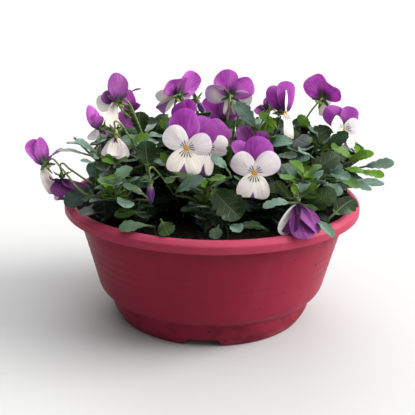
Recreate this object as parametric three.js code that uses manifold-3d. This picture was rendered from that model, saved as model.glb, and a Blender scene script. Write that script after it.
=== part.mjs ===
// Potted viola planter: a round moulded plastic bowl on a notched foot ring, filled with potting soil, in which
// violas grow. Each bloom is one head of five petals, and each stalk carries a bloom's green calyx. Each leafy shoot
// is one stem with its leaves.
//
// Millimetres, +Z up. The origin is the centre of the circle on which the foot ring stands. The front faces -Y.
// Stalks and shoots are grown one after another. Each takes the first of a few routes that keeps it clear of all that
// grew before it, so no part of a plant runs through another.
import * as THREE from "three";
import { mergeVertices } from "three/addons/utils/BufferGeometryUtils.js";
import Module from "manifold-3d";

const wasm = await Module();
wasm.setup();
const { Manifold, Mesh } = wasm;

// ---- bowl ----
const ROUND_SEGMENTS = 40;
const HEIGHT = 96;
const RIM_RADIUS = 115;
const RIM_INNER_RADIUS = 107.5;
const RIM_LIP_DROP = 9;
const WALL = 2;
const UPPER_WALL_RADIUS = 105.5;
const MID_WALL_RADIUS = 97;
const MID_WALL_HEIGHT = 57;
const BELLY_RADIUS = 89.5;
const BELLY_HEIGHT = 27;
const NECK_RADIUS = 79.5;
const NECK_HEIGHT = 18;
const FOOT_RADIUS = 73.5;
const FOOT_WIDTH = 3;
const FLOOR_UNDERSIDE = 6;
const FLOOR_THICKNESS = 2.5;
const NOTCH_COUNT = 3;
const NOTCH_TURN = -4; // degrees from straight ahead
const NOTCH_BOTTOM_WIDTH = 30;
const NOTCH_TOP_WIDTH = 22;
const NOTCH_HEIGHT = 5.6;
const DRAIN_COUNT = 3;
const DRAIN_RADIUS = 4.5;
const DRAIN_CIRCLE_RADIUS = 18;
const DRAIN_TURN = -18; // degrees from straight ahead to the first hole

// ---- soil ----
const SOIL_EDGE_HEIGHT = 84;
const SOIL_CROWN = 4; // how much higher the soil lies in the middle

// ---- room between pieces ----
const FIT_GAP = 0.4; // between the soil and the bowl
const ROOT_GAP = 0.5; // between the soil and a stem that stands on it
const CLEAR_GAP = 0.35; // the least room between any two pieces of the plants
const SLIVER = 0.2; // edges shorter than this are merged away

// ---- blooms ----
const PETAL_THICKNESS = 1;
const HUB_RADIUS = 2.4;
const HUB_LENGTH = 4;
const SEPAL_COUNT = 5;
const SEPAL_LENGTH = 9;
const SEPAL_SWEEP = 22; // degrees back from the plane of the flower
const CALYX_FRONT = 4.6; // from the throat back to the calyx
const CALYX_LENGTH = 3;
const STALK_RADIUS = 1.1;
const CROOK = 7; // how far behind the calyx the stalk bends over

// ---- leafy shoots ----
const SHOOT_COUNT = 18;
const FIRST_SHOOT_TURN = -35; // degrees
const SHOOT_RING = 88; // how far out the outermost shoots start
const SHOOT_LEAN = 0.12; // a shoot leans out by this share of its base's distance from the middle
const SIDE_LEAN = 0.34; // and by so much more towards the left and right ends
const SHOOT_CENTRE_HEIGHT = 68;
const SHOOT_EDGE_HEIGHT = 36;
const SHOOT_DOME_POWER = 4; // the higher, the flatter the top of the plants and the steeper their sides
const FRONT_HEIGHT_SHARE = 0.45; // the youngest shoots stand at the front
const STEM_RADIUS = 1.5;
const LEAVES_PER_SHOOT = 8;
const LEAF_KEEL = 1.4; // from a leaf's top down to the keel of its midrib
const GOLDEN_ANGLE = Math.PI * (3 - Math.sqrt(5));

// ---- looks ----
const LOOKS = {
  pot: { color: 0x9a2f45, roughness: 0.45 },
  soil: { color: 0x1d1712, roughness: 1 },
  petals: { color: 0xa24bb8, roughness: 0.6 },
  stalk: { color: 0x7c9648, roughness: 0.6 },
  leaf: { color: 0x3f5f47, roughness: 0.5 },
};

const UP = new THREE.Vector3(0, 0, 1);
const rad = THREE.MathUtils.degToRad;
const vec = (x, y, z) => new THREE.Vector3(x, y, z);

// ---- solids and meshes ----

function solidOf(geometry) {
  const bare = geometry.clone();
  bare.deleteAttribute("normal");
  bare.deleteAttribute("uv");
  const merged = mergeVertices(bare, 1e-4);
  const solid = new Manifold(
    new Mesh({
      numProp: 3,
      vertProperties: new Float32Array(merged.attributes.position.array),
      triVerts: new Uint32Array(merged.index.array),
    }),
  );
  return solid.volume() < 0 ? solidOf(turnedInsideOut(merged)) : solid;
}

function turnedInsideOut(geometry) {
  const index = Array.from(geometry.index.array);
  const flipped = index.map((_, i) => index[i - (i % 3) + [0, 2, 1][i % 3]]);
  return new THREE.BufferGeometry().setAttribute("position", geometry.getAttribute("position")).setIndex(flipped);
}

function meshOf(name, solid, look) {
  const { vertProperties, triVerts } = solid.simplify(SLIVER).getMesh();
  const geometry = new THREE.BufferGeometry()
    .setAttribute("position", new THREE.BufferAttribute(vertProperties.slice(), 3))
    .setIndex(Array.from(triVerts))
    .toNonIndexed();
  geometry.computeVertexNormals();
  const mesh = new THREE.Mesh(geometry, new THREE.MeshStandardMaterial(LOOKS[look]));
  mesh.name = name;
  return mesh;
}

const placed = (solid, matrix) => solid.transform(matrix.elements);

// Revolves [radius, height] pairs about Z.
function revolved(profile, segments = ROUND_SEGMENTS) {
  const points = profile.map(([radius, height]) => new THREE.Vector2(radius, height));
  return solidOf(new THREE.LatheGeometry(points, segments).rotateX(Math.PI / 2));
}

// A closed skin over rings of points, each ring with the same number of points.
function loft(rings) {
  const around = rings[0].length;
  const last = (rings.length - 1) * around;
  const index = [];
  for (let r = 0; r + 1 < rings.length; r++) {
    for (let k = 0; k < around; k++) {
      const a = r * around + k;
      const b = r * around + ((k + 1) % around);
      index.push(a, b, a + around, b, b + around, a + around);
    }
  }
  for (let k = 1; k + 1 < around; k++) {
    index.push(0, k + 1, k);
    index.push(last, last + k, last + k + 1);
  }
  return solidOf(new THREE.BufferGeometry().setFromPoints(rings.flat()).setIndex(index));
}

function tube(points, radius, sides, steps) {
  const corners = [];
  for (let k = 0; k < sides; k++) {
    const angle = (2 * Math.PI * k) / sides;
    corners.push(new THREE.Vector2(radius * Math.cos(angle), radius * Math.sin(angle)));
  }
  const path = new THREE.CatmullRomCurve3(points, false, "centripetal");
  const settings = { steps, bevelEnabled: false, extrudePath: path };
  return solidOf(new THREE.ExtrudeGeometry(new THREE.Shape(corners), settings));
}

// ---- bowl and soil ----

const OUTER_WALL = [
  [FOOT_RADIUS, 0],
  [NECK_RADIUS - 0.5, 9],
  [NECK_RADIUS, NECK_HEIGHT],
  [BELLY_RADIUS - 3.5, BELLY_HEIGHT - 4.5],
  [BELLY_RADIUS, BELLY_HEIGHT],
  [MID_WALL_RADIUS, MID_WALL_HEIGHT],
  [UPPER_WALL_RADIUS, HEIGHT - RIM_LIP_DROP],
];
const INNER_WALL = [
  [RIM_INNER_RADIUS, HEIGHT - 1],
  [MID_WALL_RADIUS - WALL, MID_WALL_HEIGHT],
  [BELLY_RADIUS - WALL, BELLY_HEIGHT],
  [BELLY_RADIUS - WALL - 3, BELLY_HEIGHT - 3.5],
  [NECK_RADIUS - WALL, NECK_HEIGHT + 1],
  [NECK_RADIUS - WALL - 1, FLOOR_UNDERSIDE + FLOOR_THICKNESS],
];
// The rim turns out and down, hollow underneath.
const RIM = [
  [RIM_INNER_RADIUS + 0.9, HEIGHT - WALL],
  [RIM_RADIUS - 3, HEIGHT - WALL - 1],
  [RIM_RADIUS - 3.2, HEIGHT - RIM_LIP_DROP],
  [RIM_RADIUS - 1.2, HEIGHT - RIM_LIP_DROP],
  [RIM_RADIUS, HEIGHT - 3.5],
  [RIM_RADIUS - 2.5, HEIGHT],
  [RIM_INNER_RADIUS + 1.5, HEIGHT],
];
const UNDERSIDE = [
  [0, FLOOR_UNDERSIDE],
  [FOOT_RADIUS - FOOT_WIDTH - 0.8, FLOOR_UNDERSIDE],
  [FOOT_RADIUS - FOOT_WIDTH, 0],
];
const FLOOR_CENTRE = [0, FLOOR_UNDERSIDE + FLOOR_THICKNESS];

function notchSolid(turn) {
  const outline = new THREE.Shape([
    new THREE.Vector2(-NOTCH_BOTTOM_WIDTH / 2, -1),
    new THREE.Vector2(NOTCH_BOTTOM_WIDTH / 2, -1),
    new THREE.Vector2(NOTCH_TOP_WIDTH / 2, NOTCH_HEIGHT),
    new THREE.Vector2(-NOTCH_TOP_WIDTH / 2, NOTCH_HEIGHT),
  ]);
  const prism = new THREE.ExtrudeGeometry(outline, { depth: 22, bevelEnabled: false });
  return solidOf(prism.rotateX(Math.PI / 2).translate(0, 12 - FOOT_RADIUS, 0).rotateZ(turn));
}

function drainSolid(turn) {
  const hole = new THREE.CylinderGeometry(DRAIN_RADIUS, DRAIN_RADIUS, 12, 12).rotateX(Math.PI / 2);
  return solidOf(hole.translate(0, -DRAIN_CIRCLE_RADIUS, FLOOR_UNDERSIDE).rotateZ(turn));
}

function bowlSolid() {
  let bowl = revolved([...UNDERSIDE, ...OUTER_WALL, ...RIM, ...INNER_WALL, FLOOR_CENTRE]);
  for (let k = 0; k < NOTCH_COUNT; k++) {
    bowl = bowl.subtract(notchSolid(rad(NOTCH_TURN) + (2 * Math.PI * k) / NOTCH_COUNT));
  }
  for (let k = 0; k < DRAIN_COUNT; k++) {
    bowl = bowl.subtract(drainSolid(rad(DRAIN_TURN) + (2 * Math.PI * k) / DRAIN_COUNT));
  }
  return bowl;
}

// Height of the soil's surface at a distance from the middle.
function soilTop(radius) {
  return SOIL_EDGE_HEIGHT + SOIL_CROWN * (1 - (radius / RIM_INNER_RADIUS) ** 2);
}

function soilSolid() {
  const side = INNER_WALL.slice(1).map(([radius, height]) => [radius - FIT_GAP, height + FIT_GAP]);
  const rise = (SOIL_EDGE_HEIGHT - MID_WALL_HEIGHT) / (INNER_WALL[0][1] - MID_WALL_HEIGHT);
  const edge = side[0][0] + (INNER_WALL[0][0] - INNER_WALL[1][0]) * rise;
  const top = [0, 0.45, 0.8].map((share) => [edge * share, soilTop(edge * share)]);
  return revolved([...top, [edge, SOIL_EDGE_HEIGHT], ...side, [0, side.at(-1)[1]]]);
}

// ---- blooms: local +Z faces out of the flower, local +Y is the flower's own up ----

const PETALS = [
  { kind: "upper", turn: 25, length: 29, width: 24, tilt: -7, cup: 0, back: 2.6 },
  { kind: "upper", turn: -25, length: 29, width: 24, tilt: -7, cup: 0, back: 1.2 },
  { kind: "side", turn: 58, length: 19, width: 18, tilt: 6, cup: 1, back: 0 },
  { kind: "side", turn: -58, length: 19, width: 18, tilt: 6, cup: 1, back: 0 },
  { kind: "lip", turn: 180, length: 19, width: 26, tilt: -8, cup: 1, back: 0 },
];
// Along a petal from root to tip: half its width, how far its edges trail behind its middle, and how far they lift.
const PETAL_ROWS = [
  { along: 0, half: 0.16, trail: 0, lift: 0 },
  { along: 0.3, half: 0.68, trail: 0.02, lift: 0.6 },
  { along: 0.72, half: 1, trail: 0.08, lift: 1.2 },
  { along: 1, half: 0.58, trail: 0.12, lift: 0.6 },
];

// A petal is folded forward about its root, turned into place about the flower's axis, and then leant about the
// flower's left-right line, so that the two upper petals lie flat over one another.
function petalSolid({ turn, length, width, tilt, cup, back }, fold, scale) {
  const rings = PETAL_ROWS.map(({ along, half, trail, lift }) => {
    const side = (half * width) / 2;
    const edge = (along - trail) * length;
    const left = vec(-side, edge, lift * cup);
    const right = vec(side, edge, lift * cup);
    const under = [right, left].map((p) => p.clone().setZ(p.z - PETAL_THICKNESS));
    return [left, vec(0, along * length, 0), right, ...under];
  });
  const pose = new THREE.Matrix4()
    .makeScale(scale, scale, scale)
    .multiply(new THREE.Matrix4().makeTranslation(0, 0, -back))
    .multiply(new THREE.Matrix4().makeRotationX(rad(tilt)))
    .multiply(new THREE.Matrix4().makeRotationZ(rad(-turn)))
    .multiply(new THREE.Matrix4().makeRotationX(rad(fold)));
  return placed(loft(rings), pose);
}

function bloomSolid({ scale = 1, fold = 0, upperFold = fold }) {
  const hub = new THREE.CylinderGeometry(HUB_RADIUS, HUB_RADIUS, HUB_LENGTH, 6).rotateX(Math.PI / 2);
  hub.translate(0, 0, 0.6 - HUB_LENGTH / 2);
  const petals = PETALS.map((petal) => petalSolid(petal, petal.kind === "upper" ? upperFold : fold, scale));
  return Manifold.union([solidOf(hub), ...petals]);
}

// Pointed sepals on a cup, behind the throat.
function calyxSolid() {
  const cup = new THREE.CylinderGeometry(2.6, 1.4, CALYX_LENGTH, 6).rotateX(Math.PI / 2);
  const parts = [solidOf(cup.translate(0, 0, -CALYX_FRONT - CALYX_LENGTH / 2))];
  for (let k = 0; k < SEPAL_COUNT; k++) {
    const sepal = new THREE.ConeGeometry(1.7, SEPAL_LENGTH, 3).translate(0, SEPAL_LENGTH / 2, 0).scale(1, 1, 0.5);
    sepal.rotateX(rad(-SEPAL_SWEEP)).translate(0, 0, -CALYX_FRONT - 1).rotateZ(Math.PI * (0.2 + 0.4 * k));
    parts.push(solidOf(sepal));
  }
  return Manifold.union(parts);
}

// Petals still rolled up into a pointed barrel, on a calyx.
function budSolid(length) {
  const outline = [[0, 0], [0.16, 0.06], [0.24, 0.4], [0.2, 0.8], [0, 1]];
  const barrel = outline.map(([radius, along]) => [radius * length, along * length]);
  const neck = new THREE.CylinderGeometry(1.6, 1.6, CALYX_FRONT + 2, 6).rotateX(Math.PI / 2);
  return Manifold.union([calyxSolid(), solidOf(neck.translate(0, 0, -CALYX_FRONT / 2)), revolved(barrel, 6)]);
}

// How a bloom stands: yaw 0 looks along -Y and yaw 90 along +X, pitch lifts the face, and roll turns it about its
// own axis. All in degrees.
function facing({ yaw, pitch, roll = 0 }) {
  const quaternion = new THREE.Quaternion().setFromAxisAngle(UP, rad(yaw));
  quaternion.multiply(new THREE.Quaternion().setFromAxisAngle(vec(1, 0, 0), rad(90 - pitch)));
  return quaternion.multiply(new THREE.Quaternion().setFromAxisAngle(UP, rad(roll)));
}

const DROOPING = { fold: 58, upperFold: 66 };
const BLOOMS = [
  { name: "front_left", at: [-18, -68, 148], yaw: 2, pitch: 10, roll: -14, scale: 0.95 },
  { name: "front_left_behind", at: [-4, -46, 144], yaw: 34, pitch: 4, roll: -22, scale: 0.98 },
  { name: "front_right", at: [29, -75, 133], yaw: 0, pitch: 12, roll: -3, scale: 0.95 },
  { name: "front_right_behind", at: [30, -30, 136], yaw: 160, pitch: -30, scale: 0.75 },
  { name: "front_drooping", at: [58, -86, 113], yaw: 22, pitch: -78, scale: 0.88, ...DROOPING },
  { name: "middle_behind", at: [-22, -22, 154], yaw: -32, pitch: 4, roll: 4, scale: 0.8 },
  { name: "right", at: [97, -20, 153], yaw: 20, pitch: 15, scale: 0.85 },
  { name: "right_high", at: [87, 28, 168], yaw: 164, pitch: 8, roll: 24, scale: 0.88 },
  { name: "middle_right_high", at: [56, 2, 161], yaw: 68, pitch: -4, roll: -6, fold: 4, scale: 0.92 },
  { name: "middle_right_low", at: [42, 34, 156], yaw: -110, pitch: -40, scale: 0.65 },
  { name: "middle_high", at: [13, 18, 171], yaw: 178, pitch: 10, roll: 4, scale: 0.92 },
  { name: "middle_left_high", at: [-29, 12, 172], yaw: -150, pitch: 14, roll: 34, scale: 0.9 },
  { name: "left_high", at: [-74, -12, 169], yaw: -124, pitch: -6, scale: 0.82 },
  { name: "left_high_behind", at: [-62, 20, 156], yaw: 118, pitch: -8, roll: 24, scale: 0.85 },
  { name: "left_nodding", at: [-70, -40, 148], yaw: 190, pitch: -74, scale: 0.8, ...DROOPING },
  { name: "left_middle", at: [-92, -6, 151], yaw: -72, pitch: 6, scale: 0.75 },
  { name: "left_end", at: [-128, -25, 123], yaw: -118, pitch: -22, scale: 0.85 },
  { name: "left_drooping", at: [-112, -30, 112], yaw: 14, pitch: -72, scale: 0.76, ...DROOPING },
  { name: "rear_low", at: [8, 76, 138], yaw: 172, pitch: 10 },
];
const BUDS = [
  { name: "left", at: [-43, -72, 122], yaw: 0, pitch: -84, length: 14 },
  { name: "high", at: [-8, 34, 163], yaw: 38, pitch: -42, length: 14 },
];

// ---- growing ----

const grown = []; // all that is in place, each as { solid, box }

const keep = (solid) => grown.push({ solid, box: solid.boundingBox() });

const boxesMeet = (a, b) =>
  [0, 1, 2].every((k) => a.min[k] - CLEAR_GAP < b.max[k] && b.min[k] - CLEAR_GAP < a.max[k]);

// True if a solid meets nothing in place and stays within the rim at the front and the back.
function isClear(solid) {
  const box = solid.boundingBox();
  if (box.min[1] < -RIM_RADIUS || box.max[1] > RIM_RADIUS) return false;
  return grown.every((other) => !boxesMeet(box, other.box) || solid.minGap(other.solid, CLEAR_GAP) >= CLEAR_GAP);
}

// Where a stem or stalk stands on the soil.
function rootedAt(x, y) {
  return vec(x, y, soilTop(Math.hypot(x, y)) + ROOT_GAP);
}

// A stalk rises straight from the soil, leans over, bends at its crook and meets the flower from behind.
function stalkPoints(matrix, base) {
  const calyx = vec(0, 0, -CALYX_FRONT - 0.8 * CALYX_LENGTH).applyMatrix4(matrix);
  const crook = vec(0, 0, -CALYX_FRONT - CALYX_LENGTH - 0.8 * CROOK).applyMatrix4(matrix).add(vec(0, 0, 2));
  const neck = crook.clone().lerp(base, 0.22).setZ(crook.z - 0.18 * (crook.z - base.z) + 3);
  const middle = base.clone().lerp(neck, 0.5).add(vec(0, 0, 4));
  return [base, base.clone().add(vec(0, 0, 4)), middle, neck, crook, calyx];
}

// A stalk starts between the middle and the spot below its flower, at one of these shares of the way and turned
// about the middle by one of these angles.
const ROOT_SHARES = [0.5, 0.42, 0.58, 0.34, 0.66];
const ROOT_TURNS = [0, 8, -8, 16, -16, 24, -24, 34, -34, 46, -46];

function growStalk(name, at, matrix, head) {
  for (const turn of ROOT_TURNS) {
    for (const share of ROOT_SHARES) {
      const spot = vec(at[0] * share, at[1] * share, 0).applyAxisAngle(UP, rad(turn));
      const points = stalkPoints(matrix, rootedAt(spot.x, spot.y));
      const stalk = Manifold.union([placed(head, matrix), tube(points, STALK_RADIUS, 5, 7)]);
      if (isClear(stalk)) {
        keep(stalk);
        return meshOf(name, stalk, "stalk");
      }
    }
  }
  throw new Error(`no clear route for ${name}`);
}

function makeBloom({ name, at, ...pose }) {
  const solid = bloomSolid(pose);
  const bloom = meshOf(`bloom_${name}`, solid, "petals");
  bloom.position.set(...at);
  bloom.quaternion.copy(facing(pose));
  bloom.updateMatrix();
  keep(placed(solid, bloom.matrix));
  return bloom;
}

function makeBud({ name, at, length, ...pose }) {
  const matrix = new THREE.Matrix4().compose(vec(...at), facing(pose), vec(1, 1, 1));
  return growStalk(`bud_${name}`, at, matrix, budSolid(length));
}

// ---- leafy shoots ----

// Along a leaf from the foot of its petiole to its tip: half its width.
const LEAF_ROWS = [
  { along: 0, half: 0.07 },
  { along: 0.38, half: 0.08 },
  { along: 0.58, half: 0.42 },
  { along: 0.85, half: 0.46 },
  { along: 1, half: 0.16 },
];
const LEAF_TURNS = [0, 20, -20, 40, -40, 62, -62, 90, -90];
const STEM_TURNS = [0, 6, -6, 12, -12, 18, -18, 24, -24];

// A leaf on its petiole: it rises from the stem and then arches over. Local +Y runs outward, +Z up.
function leafSolid({ length, width, rise, arch }) {
  const point = vec(0, 0, 0);
  let before = 0;
  const rings = LEAF_ROWS.map(({ along, half }) => {
    const slope = rad(rise - (arch * (along + before)) / 2);
    point.add(vec(0, Math.cos(slope), Math.sin(slope)).multiplyScalar((along - before) * length));
    before = along;
    const side = vec(half * width, 0, 0);
    const keel = vec(0, Math.sin(slope), -Math.cos(slope)).multiplyScalar(LEAF_KEEL);
    return [point.clone().sub(side), point.clone().add(side), point.clone().add(keel)];
  });
  return loft(rings);
}

// The shoots stand on the soil like seeds in a sunflower. They are tallest in the middle and short at the front.
function shootPlan(k) {
  const share = Math.sqrt((k + 0.5) / SHOOT_COUNT);
  const angle = rad(FIRST_SHOOT_TURN) + k * GOLDEN_ANGLE;
  const outward = vec(Math.cos(angle), Math.sin(angle), 0);
  const radius = SHOOT_RING * share;
  const base = rootedAt(radius * outward.x, radius * outward.y);
  const heightLost = (SHOOT_CENTRE_HEIGHT - SHOOT_EDGE_HEIGHT) * share ** SHOOT_DOME_POWER;
  const nearFront = THREE.MathUtils.smoothstep(-base.y, 35, 80);
  const height = (SHOOT_CENTRE_HEIGHT - heightLost) * (1 - nearFront * (1 - FRONT_HEIGHT_SHARE));
  const lean = radius * (SHOOT_LEAN + SIDE_LEAN * outward.x ** 2);
  const tip = base.clone().addScaledVector(outward, lean).add(vec(0, 0, height));
  return { base, tip, angle };
}

// A stem starts straight up and then leans over.
function growStem({ base, tip }) {
  const rise = tip.z - base.z;
  const start = base.clone().setZ(base.z + 0.12 * rise);
  const middle = base.clone().lerp(tip, 0.3).setZ(base.z + 0.5 * rise);
  for (const turn of STEM_TURNS) {
    const points = [base, start, middle, tip].map((p) => p.clone().applyAxisAngle(UP, rad(turn)));
    const solid = tube(points, STEM_RADIUS, 4, 3);
    if (isClear(solid)) return { solid, path: new THREE.CatmullRomCurve3(points, false, "centripetal") };
  }
  return null;
}

// Lower leaves are longer and lie flatter. Each is a golden angle round from the one below it.
function growLeaf(path, firstAngle, k) {
  const share = (k + 0.5) / LEAVES_PER_SHOOT;
  const origin = path.getPointAt(0.14 + 0.84 * share);
  const shape = { length: 46 - 18 * share, width: 27 - 11 * share, rise: 35 + 35 * share, arch: 85 };
  for (const turn of LEAF_TURNS) {
    const azimuth = firstAngle + k * GOLDEN_ANGLE + rad(turn) - Math.PI / 2;
    const leaf = placed(leafSolid(shape), new THREE.Matrix4().makeRotationZ(azimuth).setPosition(origin));
    if (isClear(leaf)) return leaf;
  }
  return null;
}

function makeShoot(k) {
  const plan = shootPlan(k);
  const stem = growStem(plan);
  if (!stem) throw new Error(`no clear place for shoot ${k + 1}`);
  const parts = [stem.solid];
  for (let j = 0; j < LEAVES_PER_SHOOT; j++) {
    const leaf = growLeaf(stem.path, plan.angle, j);
    if (leaf) parts.push(leaf);
  }
  const shoot = Manifold.union(parts);
  keep(shoot);
  return meshOf(`shoot_${String(k + 1).padStart(2, "0")}`, shoot, "leaf");
}

// ---- assembly ----

const bowl = bowlSolid();
const soil = soilSolid();
keep(bowl);
keep(soil);

const plants = new THREE.Group();
plants.add(...BLOOMS.map(makeBloom));
const heads = [...plants.children];
heads.forEach((head, k) => {
  plants.add(growStalk(head.name.replace("bloom", "stalk"), BLOOMS[k].at, head.matrix, calyxSolid()));
});
plants.add(...BUDS.map(makeBud));
for (let k = 0; k < SHOOT_COUNT; k++) plants.add(makeShoot(k));

const planter = new THREE.Group();
planter.add(meshOf("pot", bowl, "pot"), meshOf("soil", soil, "soil"), plants);

export default planter;
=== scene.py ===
"""Looks of the potted viola planter: a crimson plastic bowl of dark potting soil with leafy violas in bloom.

Shapes are worked out in millimetres and written to meshes in metres. The blooms, the buds and the leaves in
front are placed one by one, and the other leaves are seeded random draws. Each stalk and each shoot starts
where its CAD node meets the soil.
"""

import math
import random

import bmesh
import bpy
import numpy as np
from mathutils import Matrix, Quaternion, Vector, noise


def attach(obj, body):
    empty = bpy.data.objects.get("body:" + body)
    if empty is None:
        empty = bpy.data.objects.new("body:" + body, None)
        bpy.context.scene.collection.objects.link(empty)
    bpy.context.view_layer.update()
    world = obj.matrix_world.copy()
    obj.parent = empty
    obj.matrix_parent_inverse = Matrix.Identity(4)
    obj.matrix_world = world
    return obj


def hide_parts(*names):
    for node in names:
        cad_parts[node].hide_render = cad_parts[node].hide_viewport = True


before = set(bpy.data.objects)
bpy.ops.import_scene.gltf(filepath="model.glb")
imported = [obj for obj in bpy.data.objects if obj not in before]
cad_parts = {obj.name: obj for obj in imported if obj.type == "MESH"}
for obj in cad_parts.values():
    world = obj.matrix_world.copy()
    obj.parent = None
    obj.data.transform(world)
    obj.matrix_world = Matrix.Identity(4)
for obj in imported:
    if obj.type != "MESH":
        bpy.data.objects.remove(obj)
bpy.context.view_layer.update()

MM = 0.001
GOLDEN_ANGLE = math.pi * (3 - math.sqrt(5))
TURN = 2 * math.pi
ROUGH_TURN = 6.3  # how far a random turn or phase may go, in radians
UP = Vector((0, 0, 1))

# ---- bowl, in mm: (radius, height, rounding) from the middle of the underside out, up and back in ----
BOWL_UNDERSIDE = [(0, 6, 0), (69.7, 6, 1.5), (70.5, 0, 0.9)]
BOWL_OUTSIDE = [
    (73.5, 0, 1.2), (79, 9, 3), (79.5, 18, 1.6), (86, 22.5, 2), (89.5, 27, 3), (97, 57, 14), (105.5, 87, 0.8),
]
BOWL_RIM = [
    (108.4, 94, 1), (112, 93, 0.8), (111.8, 87, 0.6), (114.8, 87.2, 0.5), (114.7, 92.6, 0.9),
    (111.6, 95.8, 1.2), (109, 96, 0.8),
]
BOWL_INSIDE = [(107.5, 95, 0.8), (95, 57, 10), (87.5, 27, 3), (77.5, 19, 3), (76.5, 8.5, 2), (0, 8.5, 0)]
BOWL_SEGMENTS = 160
BOWL_SHARP = 38  # degrees between faces from which an edge is sharp
PROFILE_STEP = 1.5
RIPPLE = 0.16  # how far the moulded rings stand out of the wall
RIPPLE_PITCH = 6.5
RIPPLE_BAND = (40, 74)  # heights between which the wall is ringed
NOTCH_TURN = math.radians(-4)  # from straight ahead to the first notch
NOTCH_COUNT = 3
NOTCH_OUTLINE = [(-15.5, -1), (15.5, -1), (11, 6.8), (-11, 6.8)]
NOTCH_REACH = (-84, -62)  # along Y, through the wall of the foot ring
DRAIN_COUNT = 3
DRAIN_RADIUS = 4.5
DRAIN_CIRCLE = 18
DRAIN_TURN = math.radians(-18)  # from straight ahead to the first hole
DRAIN_REACH = (2, 13)
DRAIN_SIDES = 32
# Where the rim is painted lighter and where the bowl is dirty: heights in metres over which the painted
# highlight and the dirt set in.
RIM_LIGHT_BANDS = [(0.0865, 0.0885), (0.0925, 0.0945)]
GRIMY_FOOT = (0.012, 0.034)
GRIMY_NECK = (0.070, 0.0868)
CLEAN_BAND = (0.0868, 0.0875)

# ---- soil ----
SOIL_EDGE = 103.4
SOIL_EDGE_HEIGHT = 84
SOIL_SIDE = [(0, 9.2), (74, 9.2), (76.4, 19.6), (86.6, 27.4), (94.4, 57), (102.2, 81)]
SOIL_CROWN = 4
SOIL_ROUGHNESS = 1.1
SOIL_RINGS = 92
SOIL_SEGMENTS = 260
SWELL_SIZE, GRAIN_SIZE = 16, 3.2  # of the lumps in the soil
CRUMB_COUNT = 900
CRUMB_SIZES = [0.6, 0.8, 1.1, 1.5, 2.2]
CRUMB_STRETCHES = [(0.7, 1.5), (0.5, 1), (0.5, 0.8)]  # along, across and up
CRUMB_ROUGHNESS, CRUMB_TILT = 0.22, 0.7

# ---- blooms ----
PETAL_SHEET = 0.4  # thickness
PETAL_GRID = (11, 27)  # rows and columns
PETAL_ROOT = 0.045  # the share of a petal's length where its first row lies
PETAL_UV_RADIUS = 32.0  # the distance from the root that is 1 on the petals' map
SEPAL_SHEET = 0.35
SEPAL_GRID = (9, 5)
SEPAL_COUNT = 5
SEPAL_LENGTHS, SEPAL_WIDTH, SEPAL_BENDS = (8, 10), 3, (-1.5, 1)
SEPAL_SWEEP, EAR_SWEEP = -20, -74  # degrees by which a sepal and its ear point back
EAR = dict(length=3.6, width=2.6, bend=0.5)
CALYX_BACK = 2.8
CALYX_LENGTH = 3
CROOK = 7
STALK_SIDES = 8
STALK_TAPER = (0.85, 0.2)  # the radius at the foot, and how much thinner the other end is
# Each kind of petal: half the angle it fills seen from its root, how much wider it is near its tip, how
# square its tip is, how far its tip curls forward and its sides bend back in mm, and how deep its margin
# and folds wave.
PETAL_SHAPES = {
    "upper": dict(spread=80, flare=0.25, square=0.06, curl=-1.5, cheek=1.2, ruffle=1.3, folds=0.4),
    "side": dict(spread=72, flare=0.35, square=0.04, curl=-1.0, cheek=1.3, ruffle=0.35, folds=0.15),
    "lip": dict(spread=80, flare=0.28, square=0.32, curl=-1.2, cheek=0.8, ruffle=0.5, folds=0.2),
}
PETAL_BACK = (2.4, 1.2, 0.3, 0, 0.6)  # how far each petal's root lies behind the throat
# The order of the materials on blooms, on stalks and buds, and on leaves.
PETAL_SLOTS = ["upper", "side", "lip", "throat"]
STALK_SLOT, SEPAL_SLOT, BUD_SLOT = 0, 1, 2
BLADE_SLOT, STEM_SLOT = 0, 1
NO_SPOT = 40
# Petals of a bloom that opens flat: kind, right, up, back, width, shade and marking, and roll. A tip is given
# from the throat, along the bloom's own axes. For an upper petal that number is painted shade: how much
# darker the petal is painted where it lies in shade. For a side petal it is how lilac the petal is, and for a
# lip how far from the throat its purple spot starts (NO_SPOT for none). The roll turns a petal about its own
# length, in degrees.
OPEN_PETALS = [
    ("upper", 11, 24, 2, 21, 0, 0), ("upper", -10, 25, 2, 21, 0, 0), ("side", 16, 8, 0, 16.5, 0.4, 0),
    ("side", -16, 8, 0, 16.5, 0.4, 0), ("lip", 0, -18, 0, 24, 11, 0),
]
VIEW_TILT = math.radians(17.5)
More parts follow.
